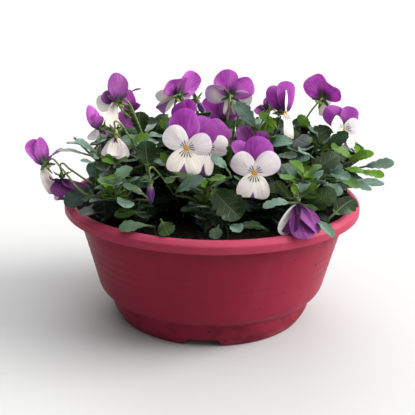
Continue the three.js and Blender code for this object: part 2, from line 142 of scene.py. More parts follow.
# The blooms. Yaw 0 faces the front and 90 the right, and pitch lifts the face. The knob is the size of
# the knob in the throat, and via is a point that the stalk runs past. Petals are as in OPEN_PETALS, but
# with their tips along the axes of somebody who looks down at the pot by VIEW_TILT: right, up and away.
BLOOMS = {
    "front_left": dict(at=(-18, -68, 148), yaw=2, pitch=10, roll=-14, petals=[
        ("upper", 18, 20, 4, 22, 0.3, 0), ("upper", -3, 28, 3, 21, 0, 0),
        ("side", -14.5, 12.5, -1, 17, 0.05, 0), ("side", 17, 4.5, -2, 15.5, 0.15, 0),
        ("lip", -2.2, -17.2, -2, 24.5, 9.8, 0)]),
    "front_left_behind": dict(at=(-4, -46, 144), yaw=34, pitch=4, roll=-22, petals=[
        ("upper", 15, 16, 3, 24, 0.26, 0), ("upper", -8, 22, 3, 20, 0.22, 0),
        ("side", -12, 8, -4, 15, 0.2, 0), ("side", 15.5, 1, 2, 15.5, 0, 0),
        ("lip", -3, -19.5, -2, 19, 12, 0)]),
    "front_right": dict(at=(29, -75, 133), yaw=0, pitch=12, roll=-3, petals=[
        ("upper", -12, 23.5, 6, 15, 0.1, 50), ("upper", 4.5, 25.5, 3, 21, 0.14, 0),
        ("side", -14.8, 11, -1, 16, 0.15, 0), ("side", 16, 11.5, -1, 16.5, 0.2, 0),
        ("lip", -1.4, -17.2, -3, 23, 12.5, 0)]),
    "front_right_behind": dict(at=(30, -30, 136), yaw=160, pitch=-30, petals=[
        ("upper", -9, 19, 2, 13, 0.6, 0), ("upper", 10, 15, 3, 13, 0.6, 0),
        ("side", -12, 0, 6, 11, 0.5, 0), ("side", 12, -1, 6, 11, 0.5, 0),
        ("lip", 0, -12, 6, 14, 10, 0)]),
    "front_drooping": dict(at=(58, -87, 114), yaw=22, pitch=-78, knob=0.4, petals=[
        ("upper", -6, -22, -4, 17, 0.85, 0), ("upper", 14, -20, -4, 15, 0.62, 20),
        ("side", -12, -20, -2, 13, 0, -105), ("upper", 4.5, -23.5, -8, 18, 0.58, 0),
        ("lip", 2, -15, 8, 13, 2, 0)]),
    "middle_behind": dict(at=(-22, -22, 154), yaw=-32, pitch=4, roll=4, petals=[
        ("upper", 0.5, 20, 2, 16, 0, 0), ("upper", -7, 17, 3, 15, 0.1, 0),
        ("side", -11, 3, 0, 13, 0.2, 0), ("side", 11, 3, 0, 13, 0.2, 0),
        ("lip", 0, -13, 0, 16, 10, 0)]),
    "right": dict(at=(97, -20, 153), yaw=20, pitch=15, knob=0.8, petals=[
        ("upper", -9, 18.5, 3, 18, 0.2, 0), ("upper", 9.5, 16, 3, 16, 0.15, 0),
        ("side", -8.5, 5, -6, 14.5, 0, 15), ("side", 12.5, 4, 2, 12, 0.1, 0),
        ("lip", 1.5, -14, -3, 17, 6.5, 0)]),
    "right_high": dict(at=(87, 28, 168), yaw=164, pitch=8, roll=24, knob=0.5, petals=[
        ("upper", -9, 18, 5, 20, 0, 0), ("upper", 7.5, 8.5, -11, 22, 0.15, 0),
        ("side", -5, -1, 8, 7, 0, 0), ("side", 5, -4, 8, 7, 0, 0),
        ("lip", 1, -13.5, 6, 7.5, NO_SPOT, 0)]),
    "middle_right_high": dict(at=(56, 2, 161), yaw=68, pitch=-4, roll=-6, knob=0.5, petals=[
        ("upper", -9, 20.5, 3, 16, 0.1, -60), ("upper", 2, 23.5, 0, 17, 0, -42),
        ("side", 0.5, 15.5, -6, 14, 0, 12), ("side", 1, 10, 8, 12, 0, 0),
        ("lip", 4.5, -21, -2, 12.5, NO_SPOT, 25)]),
    "middle_right_low": dict(at=(42, 34, 156), yaw=-110, pitch=-40, knob=0.3, petals=[
        ("upper", -11, -3, 2, 11, 0.3, 0), ("upper", 2, 9.5, 2, 13, 0.3, 0),
        ("side", -4, 4, 4, 8, 0.6, 0), ("side", 2, -5, 4, 8, 0.6, 0), ("lip", -5, -7, 3, 9, 2, 0)]),
    "middle_high": dict(at=(13, 18, 171), yaw=178, pitch=10, roll=4, knob=0.5, petals=[
        ("upper", -5.5, 19.5, 4, 20, 0, 0), ("upper", 17.5, 10.5, 2, 17.5, 0, 0),
        ("side", -19.5, 1.5, 5, 16, 0.7, 0), ("side", 16.5, -5, 8, 15, 0, 0),
        ("lip", -0.5, -15.5, 5, 10, 5, 0)]),
    "middle_left_high": dict(at=(-29, 12, 172), yaw=-150, pitch=14, roll=34, knob=0.4, petals=[
        ("upper", 15, 16.5, 3, 20, 0, 0), ("upper", -2, 10.5, -11, 22, 0.15, 0),
        ("side", -16, -2, 4, 12, 0, 0), ("side", 10, -2, 10, 12, 0.2, 0),
        ("lip", -14, -12, 5, 11, 5, 0)]),
    "left_high": dict(at=(-74, -12, 169), yaw=-124, pitch=-6, knob=0.4, petals=[
        ("upper", 0, 22, 2, 17, 0.56, -22), ("upper", 17, 13, 1, 12, 0.5, 60),
        ("upper", -9, 6, -2, 10, 0.55, -30), ("side", -13.5, -1, 1, 13, 0, 0),
        ("lip", -4, -19, -1, 14, NO_SPOT, 0)]),
    "left_high_behind": dict(at=(-62, 20, 156), yaw=118, pitch=-8, roll=24, knob=0.3, petals=[
        ("upper", -6.5, 16.5, 2, 15, 0, 38), ("upper", 1.5, 6, 3, 14, 0.1, 30),
        ("upper", -9.5, -10, 0, 17, 0.15, -38), ("side", -9, 5, 5, 10, 0.6, 0),
        ("lip", 0, -8, 6, 12, 2, 0)]),
    "left_nodding": dict(at=(-70, -40, 148), yaw=190, pitch=-74, knob=0.3, petals=[
        ("upper", -3, -8, 5, 8, 0.3, 0), ("upper", 3, -8, 5, 8, 0.3, 0),
        ("lip", -5.5, -14.5, -2, 12, NO_SPOT, 0), ("lip", 5.5, -15, -2, 12, NO_SPOT, 0),
        ("lip", 0, -14.5, -5.5, 12, NO_SPOT, 0)]),
    "left_middle": dict(at=(-89.8, -6, 147), yaw=-72, pitch=6, knob=0.3, petals=[
        ("upper", -8.4, 17.5, -2, 13, 0, -62), ("upper", -1, 11.5, 1, 11, 0, -66),
        ("side", -1.5, -9, -2, 13, 0, 150), ("side", 6, -6, 4, 9, 0.6, 0),
        ("upper", 8, -4, 4, 8, 0.3, 0)]),
    "left_end": dict(at=(-128, -25, 123), yaw=-118, pitch=-22, knob=0.3, via=(-91, -47, 107), petals=[
        ("upper", -11.5, 17, -1, 14, 0.15, -20), ("upper", -3, 20.5, 1, 13, 0.2, -10),
        ("upper", 13, 14.5, 2, 9, 0.35, 60), ("side", -7, 6, 1, 7, 0.6, 0),
        ("lip", 8, -22, -1, 13, NO_SPOT, 0)]),
    "left_drooping": dict(at=(-112, -30, 112), yaw=14, pitch=-72, knob=0.3, via=(-88, -33, 111), petals=[
        ("upper", 1, -14, -5, 17, 0.6, 0), ("upper", 12, -11, -3, 14, 0.65, 0),
        ("upper", 21, -7, 2, 9, 0.7, 55), ("upper", -10, 1, -2, 9, 0.6, 0),
        ("lip", -1, -15, 3, 12, 6, 0)]),
    "rear_low": dict(at=(8, 76, 138), yaw=172, pitch=10),
}
BUDS = {
    "left": dict(at=(-43, -72, 121), yaw=0, pitch=-84, length=12),
    "high": dict(at=(-12, 34, 161), yaw=38, pitch=-42, length=11),
}
# Outlines (radius, height) from the back to the front: of a bud as shares of its length, of the cup that
# carries the sepals, and of the knob in a throat.
BUD_OUTLINE = [
    (0, -0.14), (0.1, -0.13), (0.17, 0.02), (0.23, 0.25), (0.245, 0.45), (0.22, 0.7), (0.15, 0.9),
    (0.06, 0.985), (0, 1),
]
CUP_OUTLINE = [(0, -3.2), (1.5, -2.9), (2.2, -1.8), (2.5, -0.6), (1.9, 0.2), (0, 0.4)]
KNOB_OUTLINE = [(0, -3), (2, -2.2), (2.5, -1), (2, -0.2), (1.1, 0.15), (0.5, -0.1), (0, -0.3)]
THROAT_SIDES = 14  # of the cup and the knob
SPUR_KNOTS = [(0, -1.2, -1.5), (0, -2.4, -4.5), (0, -2.9, -6.5), (0, -2.7, -8.5)]
SPUR_RADIUS, SPUR_SIDES = 1.1, 8
BUD_SIDES, BUD_STEP = 24, 0.9
BUD_NECK = {-CALYX_BACK - 1: 1.5, -3: 1.8, -1: 1.9}  # the radius at each height behind a bud

# ---- foliage ----
LEAF_SHEET = 0.45
# Kinds of blade: rows and columns of the grid, teeth along a side and how deep they are. BLADE_DRAWS has
# the random range of what a kind leaves out: the degrees a blade arches, how far its sides lift, how late
# it widens.
BLADES = {
    "front": dict(grid=(29, 7), teeth=5, depth=0.3),
    "shoot": dict(grid=(19, 5), teeth=5, depth=0.24),
    "inner": dict(grid=(19, 5), teeth=5, depth=0.26),
    "unfolding": dict(grid=(11, 5), teeth=3, depth=0.1),
    "scale": dict(grid=(11, 5), teeth=3, depth=0.75, arch=40, cup=0.1, spoon=0.5),
}
BLADE_DRAWS = dict(arch=(25, 60), cup=(-0.1, 0.28), spoon=(0.6, 0.95))
RIB_SHARES, RIB_RADII, RIB_DEPTH = (0.03, 0.24, 0.48, 0.72), [0.55, 0.42, 0.2], 0.35  # midrib under a blade
PETIOLE_SIDES = 5
PETIOLE_DROP = 14  # how far below its blade a petiole starts, if it can
PETIOLE_LIFT = 10  # by how much it leaves the stem more steeply than its blade lies
SHOOT_COUNT = 18
SHOOT_RING = 88
SHOOT_LEAN = 0.12
SIDE_LEAN = 0.34
SHOOT_CENTRE_HEIGHT = 68
SHOOT_EDGE_HEIGHT = 36
SHOOT_DOME_POWER = 4
SHOOT_TAPER = (1.4, 0.6)
FRONT_HEIGHT_SHARE = 0.45
FRONT_FADE = (35, 80)  # how far in front of the middle the shoots start to be lower, and are lowest
LEAVES_PER_SHOOT = 30
SCALE_CHANCE = 0.6  # that a leaf has a scale on one of its hands
TOP_LEAVES = 4  # still unfolding on the top of a shoot
BLOOM_REACH = 15  # how near to the middle of a bloom leaves stay away
SIGHT_REACH = 18  # how near to the view of a bloom leaves stay away
TURNS_TRIED = (0, 0.4, -0.4, 0.8, -0.8, 1.3, -1.3, 1.8)
LEAF_SIZES = (0.75, 1.15)
LOW_LEAF, LEAF_LOSS = 1.05, 0.45  # the size of the lowest leaves, and how much smaller the highest are
PETIOLE_LENGTH, BLADE_LENGTH, BLADE_WIDTHS = 17, 25, (13.5, 18)
CLIMB, CLIMB_GAIN, CLIMB_SPREAD = 28, 38, (-8, 8)  # degrees at which the lowest leaf leaves its stem
DROOPS = (24, 50)  # degrees by which a blade rises less than its petiole
OVER_RIM = 97  # the height from which a leaf may reach out over the rim
INSIDE_RIM = 104
SCALE_LENGTHS, SCALE_RISES, SCALE_WIDTH_SHARE = (9, 15), (0.3, 1.1), 0.55
FRONT_ARCHES = (18, 42)
INNER_TRIES = 900
INNER_BOX = ((-96, 108), (-50, 85), (104, 152))
INNER_REACH = 96
INNER_LENGTHS, INNER_WIDTH_SHARES = (17, 27), (0.5, 0.68)
# Ages of the inner leaves; an age of 0.3 brings the painted sheen of leaf_material.
INNER_AGES = (0, 0.05, 0.1, 0.1, 0.3, 0.7)
LEAF_SPACING, LEAF_GAP = 0.16, 0.6  # leaves stay apart by this share of their widths, and this much more
CANOPY_HEIGHT = 163
SHOOT_LEAF_BOX = ((-136, -112, 0), (134, 112, CANOPY_HEIGHT))
CANOPY_FALL = 30
CANOPY_REACH = 115
CANOPY_POWER = 2.5
# Boxes (low corner, high corner) without leaves drawn at random: over the soil in front, and at the left end.
CLEARINGS = [
    ((-42, -110, 80), (8, -50, 119)), ((8, -110, 80), (48, -66, 104)), ((-120, -40, 100), (-92, 60, 131)),
]
UPWARD = (0, -0.45, 0.9)
FRONTWARD = (0, -0.95, 0.3)
# Leaves in front: foot of the blade, tip, width, which way the top faces, and age (0 is old, 1 is young). An
# age from about 0.15 to 0.45 also gives a leaf the painted pale bluish sheen of leaf_material.
FRONT_LEAVES = [
    ((-51, -83, 106), (-66, -89, 105), 9, UPWARD, 0.1),
    ((-44, -93, 100), (-62, -99, 99), 10, UPWARD, 0.15),
    ((-33, -98, 104), (-28, -106, 98), 12, (0, -0.8, 0.6), 0.1),
    ((-78, -62, 115), (-73, -80, 100), 16, (-0.1, -0.7, 0.7), 0),
    ((-88, -38, 107), (-107, -50, 100), 15, (-0.5, -0.8, 0.3), 0),
    ((-45, -66, 134), (-47, -57, 150), 15, (0, -0.95, 0.3), 0.05),
    ((-62, -30, 140), (-47, -22, 147), 9, UPWARD, 0.5),
    ((-54, -12, 145), (-56, -6, 161), 13, FRONTWARD, 0.05),
    ((-85, -30, 133), (-98, -45, 147), 8, (0.2, -0.5, 0.8), 0.2),
    ((-94, -32, 134), (-111, -50, 141), 7, (0.1, -0.2, 1), 0.3),
    ((-96, -18, 137), (-108, -28, 141), 5, (0, -0.2, 1), 0.2),
    ((-85, -42, 129), (-94, -52, 134), 5, UPWARD, 0.3),
    ((-59, -66, 127), (-74, -72, 126), 5, (0, -0.5, 0.9), 0.5),
    ((-46, -85, 119), (-60, -88, 127), 7, UPWARD, 0.1),
    ((-25, -72, 118), (-6, -84, 131), 10, (0.1, -0.7, 0.7), 0.3),
    ((0, -88, 124), (19, -102, 109), 21, (-0.05, -0.75, 0.65), 0.05),
    ((-6, -80, 110), (-21, -88, 109), 6, UPWARD, 0),
    ((2, -84, 106), (9, -94, 100), 13, (0, -0.8, 0.6), 0),
    ((4, -98, 101), (2, -107, 96), 9, (-0.2, -0.7, 0.7), 0.15),
    ((13, -98, 103), (19, -106, 101), 9, (0.15, -0.6, 0.8), 0.25),
    ((36, -92, 99), (20, -100, 103), 8, UPWARD, 0.05),
    ((51, -94, 118), (34, -100, 116), 9, (-0.1, -0.35, 0.95), 0.3),
    ((62, -92, 116), (70, -97, 114), 5, UPWARD, 0.1),
    ((43, -46, 137), (60, -53, 140), 8, UPWARD, 0.1),
    ((72, -50, 138), (60, -58, 145), 7, (0, -0.3, 1), 0.3),
    ((69, -58, 129), (90, -48, 140), 14, (-0.1, -0.85, 0.5), 0.05),
    ((69, -18, 141), (88, -12, 152), 14, (-0.2, -0.7, 0.7), 0.1),
    ((75, 8, 147), (66, 10, 157), 8, FRONTWARD, 0.5),
    ((103, -28, 133), (86, -36, 144), 9, (0.2, -0.7, 0.7), 0.55),
    ((83, -31, 141), (98, -33, 153), 10, (0.1, -0.9, 0.4), 0.1),
    ((114, -22, 125), (134, -30, 130), 10, (0, -0.6, 0.8), 0.3),
    ((110, -30, 123), (126, -37, 122), 9, (0.1, -0.5, 0.85), 0.95),
    ((100, -36, 117), (124, -48, 119), 9, (0, -0.35, 0.95), 0.26),
    ((86, -70, 103), (103, -52, 109), 15, (0.1, -0.6, 0.8), 0.05),
    ((72, -86, 103), (81, -103, 97), 8, (0.3, -0.6, 0.75), 0.28),
    ((53, -86, 118), (43, -84, 130), 7, (-0.3, -0.8, 0.5), 0.1),
    ((56, -82, 122), (67, -78, 128), 9, UPWARD, 0.28),
    ((66, -79, 110), (85, -74, 121), 15, (0, -0.8, 0.6), 0.1),
    ((9, -92, 141), (-1, -89, 148), 7, (0.1, -0.7, 0.7), 0.3),
    ((33, 10, 147), (17, 18, 165), 12, (0.2, -0.8, 0.55), 0.18),
    ((49, 6, 147), (36, 14, 158), 8, (0, -0.5, 0.85), 0.9),
    ((6, -6, 148), (21, -2, 154), 9, (0, -0.5, 0.85), 0.05),
    ((12, -50, 135), (17, -46, 149), 10, FRONTWARD, 0.1),
    ((96, -38, 128), (108, -50, 128), 7, (0.1, -0.5, 0.85), 1),
    ((92, -44, 126), (98, -56, 122), 6, (0.1, -0.6, 0.75), 1),
    ((101, -30, 131), (113, -30, 138), 6, (0.1, -0.6, 0.75), 0.6),
    ((106, -24, 130), (120, -22, 136), 6, (0, -0.7, 0.7), 0.9),
    ((84, -52, 128), (97, -60, 126), 9, (0.1, -0.7, 0.7), 0.3),
    ((88, -50, 124), (104, -58, 119), 9, (0.2, -0.6, 0.75), 0.45),
    ((78, -60, 122), (90, -72, 118), 9, (0, -0.7, 0.7), 0.3),
    ((98, -44, 120), (114, -54, 116), 7, (0.1, -0.5, 0.85), 0.28),
    ((-60, -60, 122), (-76, -68, 124), 8, (-0.1, -0.6, 0.8), 0.3),
    ((-68, -52, 132), (-60, -60, 138), 6, (0, -0.6, 0.8), 0.6),
    ((-70, -50, 132), (-78, -58, 136), 6, (-0.1, -0.6, 0.8), 0.5),
    ((-67, -52, 128), (-66, -66, 124), 7, (0, -0.7, 0.7), 0.6),
    ((-72, -48, 129), (-75, -52, 139), 6, FRONTWARD, 0.5),
    ((64, -84, 122), (70, -86, 129), 5, (0.2, -0.8, 0.5), 0.5),
    ((58, -86, 122), (53, -90, 128), 5, (-0.2, -0.8, 0.5), 0.5),
    ((-30, -60, 132), (-36, -58, 142), 6, (0, -0.7, 0.7), 0.5),
    ((-26, -62, 126), (-32, -72, 124), 7, (-0.1, -0.6, 0.8), 0.45),
]

# ---- camera and light ----
EYE = Vector((0, -612.6, 277.4))
EYE_FACING = (0.325, 17.53, 0.8)  # yaw, pitch and roll in degrees
LENS = 70.4
SENSOR = 36
FLOOR_REACH = 60
WORLD_STRENGTH = 0.3
# Soft lights: where each comes from, its strength, how many degrees wide it is, and its colour.
LIGHTS = {
    "window": ((0.9, 0, 0.42), 5.2, 45, (1, 0.985, 0.96)),
    "ceiling": ((0.45, 0.1, 1), 2.6, 100, (0.97, 0.985, 1)),
    "behind": ((-0.1, 0.8, 0.6), 1.3, 50, (1, 1, 1)),
    "front": ((0.45, -0.6, 0.75), 0.5, 60, (0.95, 0.97, 1)),
}


def srgb(code):
    """The linear colour, with alpha, of a code such as 'a245b5'."""
    parts = [int(code[k : k + 2], 16) / 255 for k in (0, 2, 4)]
    return [c / 12.92 if c <= 0.04045 else ((c + 0.055) / 1.055) ** 2.4 for c in parts] + [1.0]


# ---------------------------------------------------------------- meshes


class Build:
    """One mesh under construction, in millimetres, with a map and four numbers (tint) at each point."""

    def __init__(self):
        self.points, self.maps, self.tints, self.faces, self.slots = [], [], [], [], []
        self.count = 0

    def add(self, points, faces, uv=None, tint=(0, 0, 0, 0), slot=0):
        points = np.asarray(points, float).reshape(-1, 3)
        size = len(points)
        self.points.append(points)
        self.maps.append(np.zeros((size, 2)) if uv is None else np.asarray(uv, float))
        self.tints.append(np.broadcast_to(np.asarray(tint, float), (size, 4)))
        self.faces += [tuple(k + self.count for k in face) for face in faces]
        self.slots += [slot] * len(faces)
        self.count += size

    def mesh(self, name):
        mesh = bpy.data.meshes.new(name)
        mesh.from_pydata((np.concatenate(self.points) * MM).tolist(), [], self.faces)
        return mesh

    def made(self, name, materials, slot, nodes=(), sharp=50):
        """Writes the mesh to a named object that rides on the root body and stands for the CAD nodes."""
        mesh = self.mesh(name)
        corner = np.empty(len(mesh.loops), np.int32)
        mesh.loops.foreach_get("vertex_index", corner)
        layer = mesh.uv_layers.new(name="blade")
        layer.uv.foreach_set("vector", np.concatenate(self.maps)[corner].astype(np.float32).ravel())
        tint = mesh.attributes.new("tint", "FLOAT_COLOR", "POINT")
        tint.data.foreach_set("color", np.concatenate(self.tints).astype(np.float32).ravel())
        for material in materials:
            mesh.materials.append(material)
        mesh.polygons.foreach_set("material_index", self.slots)
        dress(linked(name, mesh), nodes, sharp)


def linked(name, data):
    """A new object in the scene."""
    item = bpy.data.objects.new(name, data)
    bpy.context.scene.collection.objects.link(item)
    return item


def dress(piece, nodes, sharp):
    """Shades a piece, tells the frame what it rides on, and hides the CAD nodes that it stands for."""
    piece.data.shade_smooth()
    piece.data.set_sharp_from_angle(angle=math.radians(sharp))
    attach(piece, "root")
    if nodes:
        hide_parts(*nodes)


def moved(points, place):
    """Points put in place by a matrix."""
    return np.asarray(points) @ np.array(place.to_3x3()).T + np.array(place.translation)


def facing(yaw, pitch, roll=0):
    turn = Quaternion(UP, math.radians(yaw)) @ Quaternion((1, 0, 0), math.radians(90 - pitch))
    return turn @ Quaternion(UP, math.radians(roll))


def aligned(origin, forward, face):
    """A matrix that takes +Y to forward and +Z as near to face as it can."""
    y = forward.normalized()
    z = (face - y * face.dot(y)).normalized()
    turn = Matrix((y.cross(z), y, z)).transposed().to_4x4()
    return Matrix.Translation(origin) @ turn


def grid_faces(rows, columns, start=0, turned=False):
    faces = []
    for i in range(rows - 1):
        for j in range(columns - 1):
            a = start + i * columns + j
            face = (a, a + 1, a + columns + 1, a + columns)
            faces.append(face[::-1] if turned else face)
    return faces


def sheet_faces(rows, columns):
    """Faces of a thin closed sheet: its top grid, its bottom grid and its edge."""
    size = rows * columns
    rim = list(range(columns))
    rim += [i * columns + columns - 1 for i in range(1, rows)]
    rim += [(rows - 1) * columns + j for j in range(columns - 2, -1, -1)]
    rim += [i * columns for i in range(rows - 2, 0, -1)]
    edge = [(a, a + size, b + size, b) for a, b in zip(rim, rim[1:] + rim[:1])]
    return grid_faces(rows, columns) + grid_faces(rows, columns, size, True) + edge


SHEET_GRIDS = {PETAL_GRID, SEPAL_GRID, *(blade["grid"] for blade in BLADES.values())}
SHEET_FACES = {grid: sheet_faces(*grid) for grid in SHEET_GRIDS}


def add_sheet(build, grid, thickness, uv, tint, slot=0):
    """Adds a grid of points as a thin sheet. The second number of the tint is 0 on top and 1 underneath."""
    rows, columns = grid.shape[:2]
    normal = np.cross(np.gradient(grid, axis=1), np.gradient(grid, axis=0))
    normal /= np.maximum(np.linalg.norm(normal, axis=2, keepdims=True), 1e-9)
    depth = np.full((rows, columns, 1), thickness)
    depth[[0, -1], :] *= 0.5
    depth[:, [0, -1]] *= 0.5
    tint = np.broadcast_to(np.asarray(tint, float), (rows, columns, 4)).reshape(-1, 4)
    below = tint.copy()
    below[:, 1] = 1
    points = np.concatenate([grid, grid - normal * depth])
    maps = np.concatenate([uv, uv]).reshape(-1, 2)
    build.add(points, SHEET_FACES[rows, columns], maps, np.concatenate([tint, below]), slot)


def stacked(*layers):
    """A grid of points or map places, from arrays of their coordinates that spread to one shape."""
    return np.stack(np.broadcast_arrays(*layers), -1)


def smooth_path(knots, steps):
    """Points of a smooth curve through the knots, steps of them between each two."""
    knots = [Vector(k) for k in knots]
    ends = [knots[0] * 2 - knots[1]] + knots + [knots[-1] * 2 - knots[-2]]
    path = []
    for k in range(1, len(ends) - 2):
        a, b = ends[k], ends[k + 1]
        reach = (b - a).length
        leave = (b - ends[k - 1]).normalized() * reach
        arrive = (ends[k + 2] - a).normalized() * reach
        for s in range(steps):
            t = s / steps
            path.append(
                a * (2 * t**3 - 3 * t**2 + 1) + leave * (t**3 - 2 * t**2 + t)
                + b * (3 * t**2 - 2 * t**3) + arrive * (t**3 - t**2)
            )
    return path + [knots[-1]]


def add_tube(build, path, radii, sides, tint=(0, 0, 0, 0), slot=0):
    """A closed tube along a path. The first number of the tint runs from 0 to 1 along it."""
    count = len(path)
    normal = (path[1] - path[0]).orthogonal().normalized()
    rings = []
    for k, point in enumerate(path):
        ahead = (path[min(k + 1, count - 1)] - path[max(k - 1, 0)]).normalized()
        normal = (normal - ahead * normal.dot(ahead)).normalized()
        side = ahead.cross(normal)
        for j in range(sides):
            angle = TURN * j / sides
            rings.append(point + (normal * math.cos(angle) + side * math.sin(angle)) * radii[k])
    faces = [tuple(range(sides - 1, -1, -1)), tuple(range((count - 1) * sides, count * sides))]
    for k in range(count - 1):
        for j in range(sides):
            a, b = k * sides + j, k * sides + (j + 1) % sides
            faces.append((a, b, b + sides, a + sides))
    tints = np.tile(np.asarray(tint, float), (count * sides, 1))
    tints[:, 0] = np.repeat(np.linspace(0, 1, count), sides)
    uv = np.stack([np.tile(np.linspace(0, 1, sides), count), tints[:, 0]], 1)
    build.add([list(p) for p in rings], faces, uv, tints, slot)


def tapered(thick, loss, count):
    """Radii of a tube that is thick at its foot and thinner by this loss at its end."""
    return [thick - loss * k / count for k in range(count)]


def revolved(profile, segments):
    """Points and faces of (radius, height) pairs turned about Z. The first and last pair lie on the axis."""
    turns = np.linspace(0, TURN, segments, endpoint=False)
    inner = profile[1:-1]
    rings = [[(r * math.cos(a), r * math.sin(a), z) for a in turns] for r, z in inner]
    points = [(0, 0, profile[0][1])] + [p for ring in rings for p in ring] + [(0, 0, profile[-1][1])]
    faces = []
    last = len(points) - 1
    for j in range(segments):
        k = (j + 1) % segments
        faces.append((0, 1 + k, 1 + j))
        faces.append((last, last - segments + j, last - segments + k))
        for i in range(len(inner) - 1):
            a, b = 1 + i * segments + j, 1 + i * segments + k
            faces.append((a, b, b + segments, a + segments))
    return np.array(points), faces


def rounded(corners, steps=5):
    """The outline through (x, y, rounding) corners, with each corner rounded off."""
    outline = []
    for k, (x, y, rounding) in enumerate(corners):
        here = Vector((x, y))
        if rounding == 0:
            outline.append(here)
            continue
        reach = [Vector(corners[k + s][:2]) - here for s in (-1, 1)]
        start, end = [here + r.normalized() * min(rounding, 0.45 * r.length) for r in reach]
        for s in range(steps + 1):
            t = s / steps
            outline.append(start * (1 - t) ** 2 + here * 2 * t * (1 - t) + end * t * t)
    return outline


def subdivided(outline, longest):
    points = [outline[0]]
    for a, b in zip(outline, outline[1:]):
        pieces = max(1, math.ceil((b - a).length / longest))
        points += [a.lerp(b, (k + 1) / pieces) for k in range(pieces)]
    return points


# ---------------------------------------------------------------- materials


class Wire:
    """What comes out of a node. Its sums, products and the like are Math nodes."""

    def __init__(self, nodes, socket):
        self.nodes = nodes
        self.socket = socket

    def __add__(self, other):
        return self.nodes.math("ADD", self, other)

    def __sub__(self, other):
        return self.nodes.math("SUBTRACT", self, other)

    def __rsub__(self, other):
        return self.nodes.math("SUBTRACT", other, self)

    def __mul__(self, other):
        return self.nodes.math("MULTIPLY", self, other)

    def __truediv__(self, other):
        return self.nodes.math("DIVIDE", self, other)

    def __abs__(self):
        return self.nodes.math("ABSOLUTE", self)


class Nodes:
    """A material's node tree. Each method adds a node and returns what comes out of it. Colours are codes."""

    def __init__(self, name):
        self.material = bpy.data.materials.new(name)
        self.material.use_nodes = True
        self.tree = self.material.node_tree
        self.tree.nodes.clear()

    def outputs(self, kind, inputs, **settings):
        node = self.tree.nodes.new(kind)
        for key, value in settings.items():
            setattr(node, key, value)
        for key, value in inputs.items():
            if isinstance(value, Wire):
                self.tree.links.new(value.socket, node.inputs[key])
            else:
                node.inputs[key].default_value = srgb(value) if isinstance(value, str) else value
        return node.outputs

    def node(self, kind, inputs, output=0, **settings):
        return Wire(self, self.outputs(kind, inputs, **settings)[output])

    def math(self, operation, a, b=0.0):
        return self.node("ShaderNodeMath", {0: a, 1: b}, operation=operation)

    def most(self, a, b):
        return self.math("MAXIMUM", a, b)

    def mix(self, share, a, b):
        return self.node("ShaderNodeMix", {0: share, 6: a, 7: b}, 2, data_type="RGBA")

    def smooth(self, value, low, high, start=0.0, end=1.0):
        inputs = {0: value, 1: low, 2: high, 3: start, 4: end}
        return self.node("ShaderNodeMapRange", inputs, interpolation_type="SMOOTHSTEP")

    def noise(self, vector, scale, detail=3.0, roughness=0.55):
        inputs = {"Vector": vector, "Scale": scale, "Detail": detail, "Roughness": roughness}
        return self.node("ShaderNodeTexNoise", inputs)

    def cells(self, vector, scale):
        """The distance from the middle of the nearest cell, and a random number of that cell."""
        outputs = self.outputs("ShaderNodeTexVoronoi", {"Vector": vector, "Scale": scale})
        return Wire(self, outputs["Distance"]), self.split(Wire(self, outputs["Color"]))[0]

    def place(self):
        return self.node("ShaderNodeTexCoord", {}, "Object")

    def split(self, vector):
        return [Wire(self, output) for output in self.outputs("ShaderNodeSeparateXYZ", {0: vector})]

    def join(self, x, y, z):
        return self.node("ShaderNodeCombineXYZ", {0: x, 1: y, 2: z})

    def blade(self):
        """Across and along on the map that each sheet carries."""
        return self.split(self.node("ShaderNodeUVMap", {}, uv_map="blade"))[:2]

    def tint(self):
        """The four numbers that each point carries."""
        outputs = self.outputs("ShaderNodeAttribute", {}, attribute_name="tint")
        return [*self.split(Wire(self, outputs["Color"])), Wire(self, outputs["Alpha"])]

    def lines(self, value, width):
        """1 on thin lines where the value is a whole number, and 0 between them."""
        return self.smooth(abs(self.math("FRACT", value + 0.5) - 0.5), 0.0, width, 1.0, 0.0)

    def bump(self, height, strength, distance):
        return self.node("ShaderNodeBump", {"Height": height, "Strength": strength, "Distance": distance})

    def principled(self, color, roughness, normal=None, **constants):
        inputs = {"Base Color": color, "Roughness": roughness}
        inputs.update({key.replace("_", " "): value for key, value in constants.items()})
        if normal:
            inputs["Normal"] = normal
        return self.node("ShaderNodeBsdfPrincipled", inputs)

    def finish(self, shader):
        self.outputs("ShaderNodeOutputMaterial", {"Surface": shader})
        return self.material

    def finish_thin(self, surface, glow, share, normal):
        """For thin living sheets, where light from behind shows through."""
        through = self.node("ShaderNodeBsdfTranslucent", {"Color": glow, "Normal": normal})
        return self.finish(self.node("ShaderNodeMixShader", {0: share, 1: surface, 2: through}))

    def ribbed_green(self, scale, dark, light):
        """The green of a stem, light on its fine ribs, and its bumps."""
        ribs = self.noise(self.place(), scale, 3.0)
        return self.mix(self.smooth(ribs, 0.3, 0.7), dark, light), self.bump(ribs, 0.3, 0.0004)


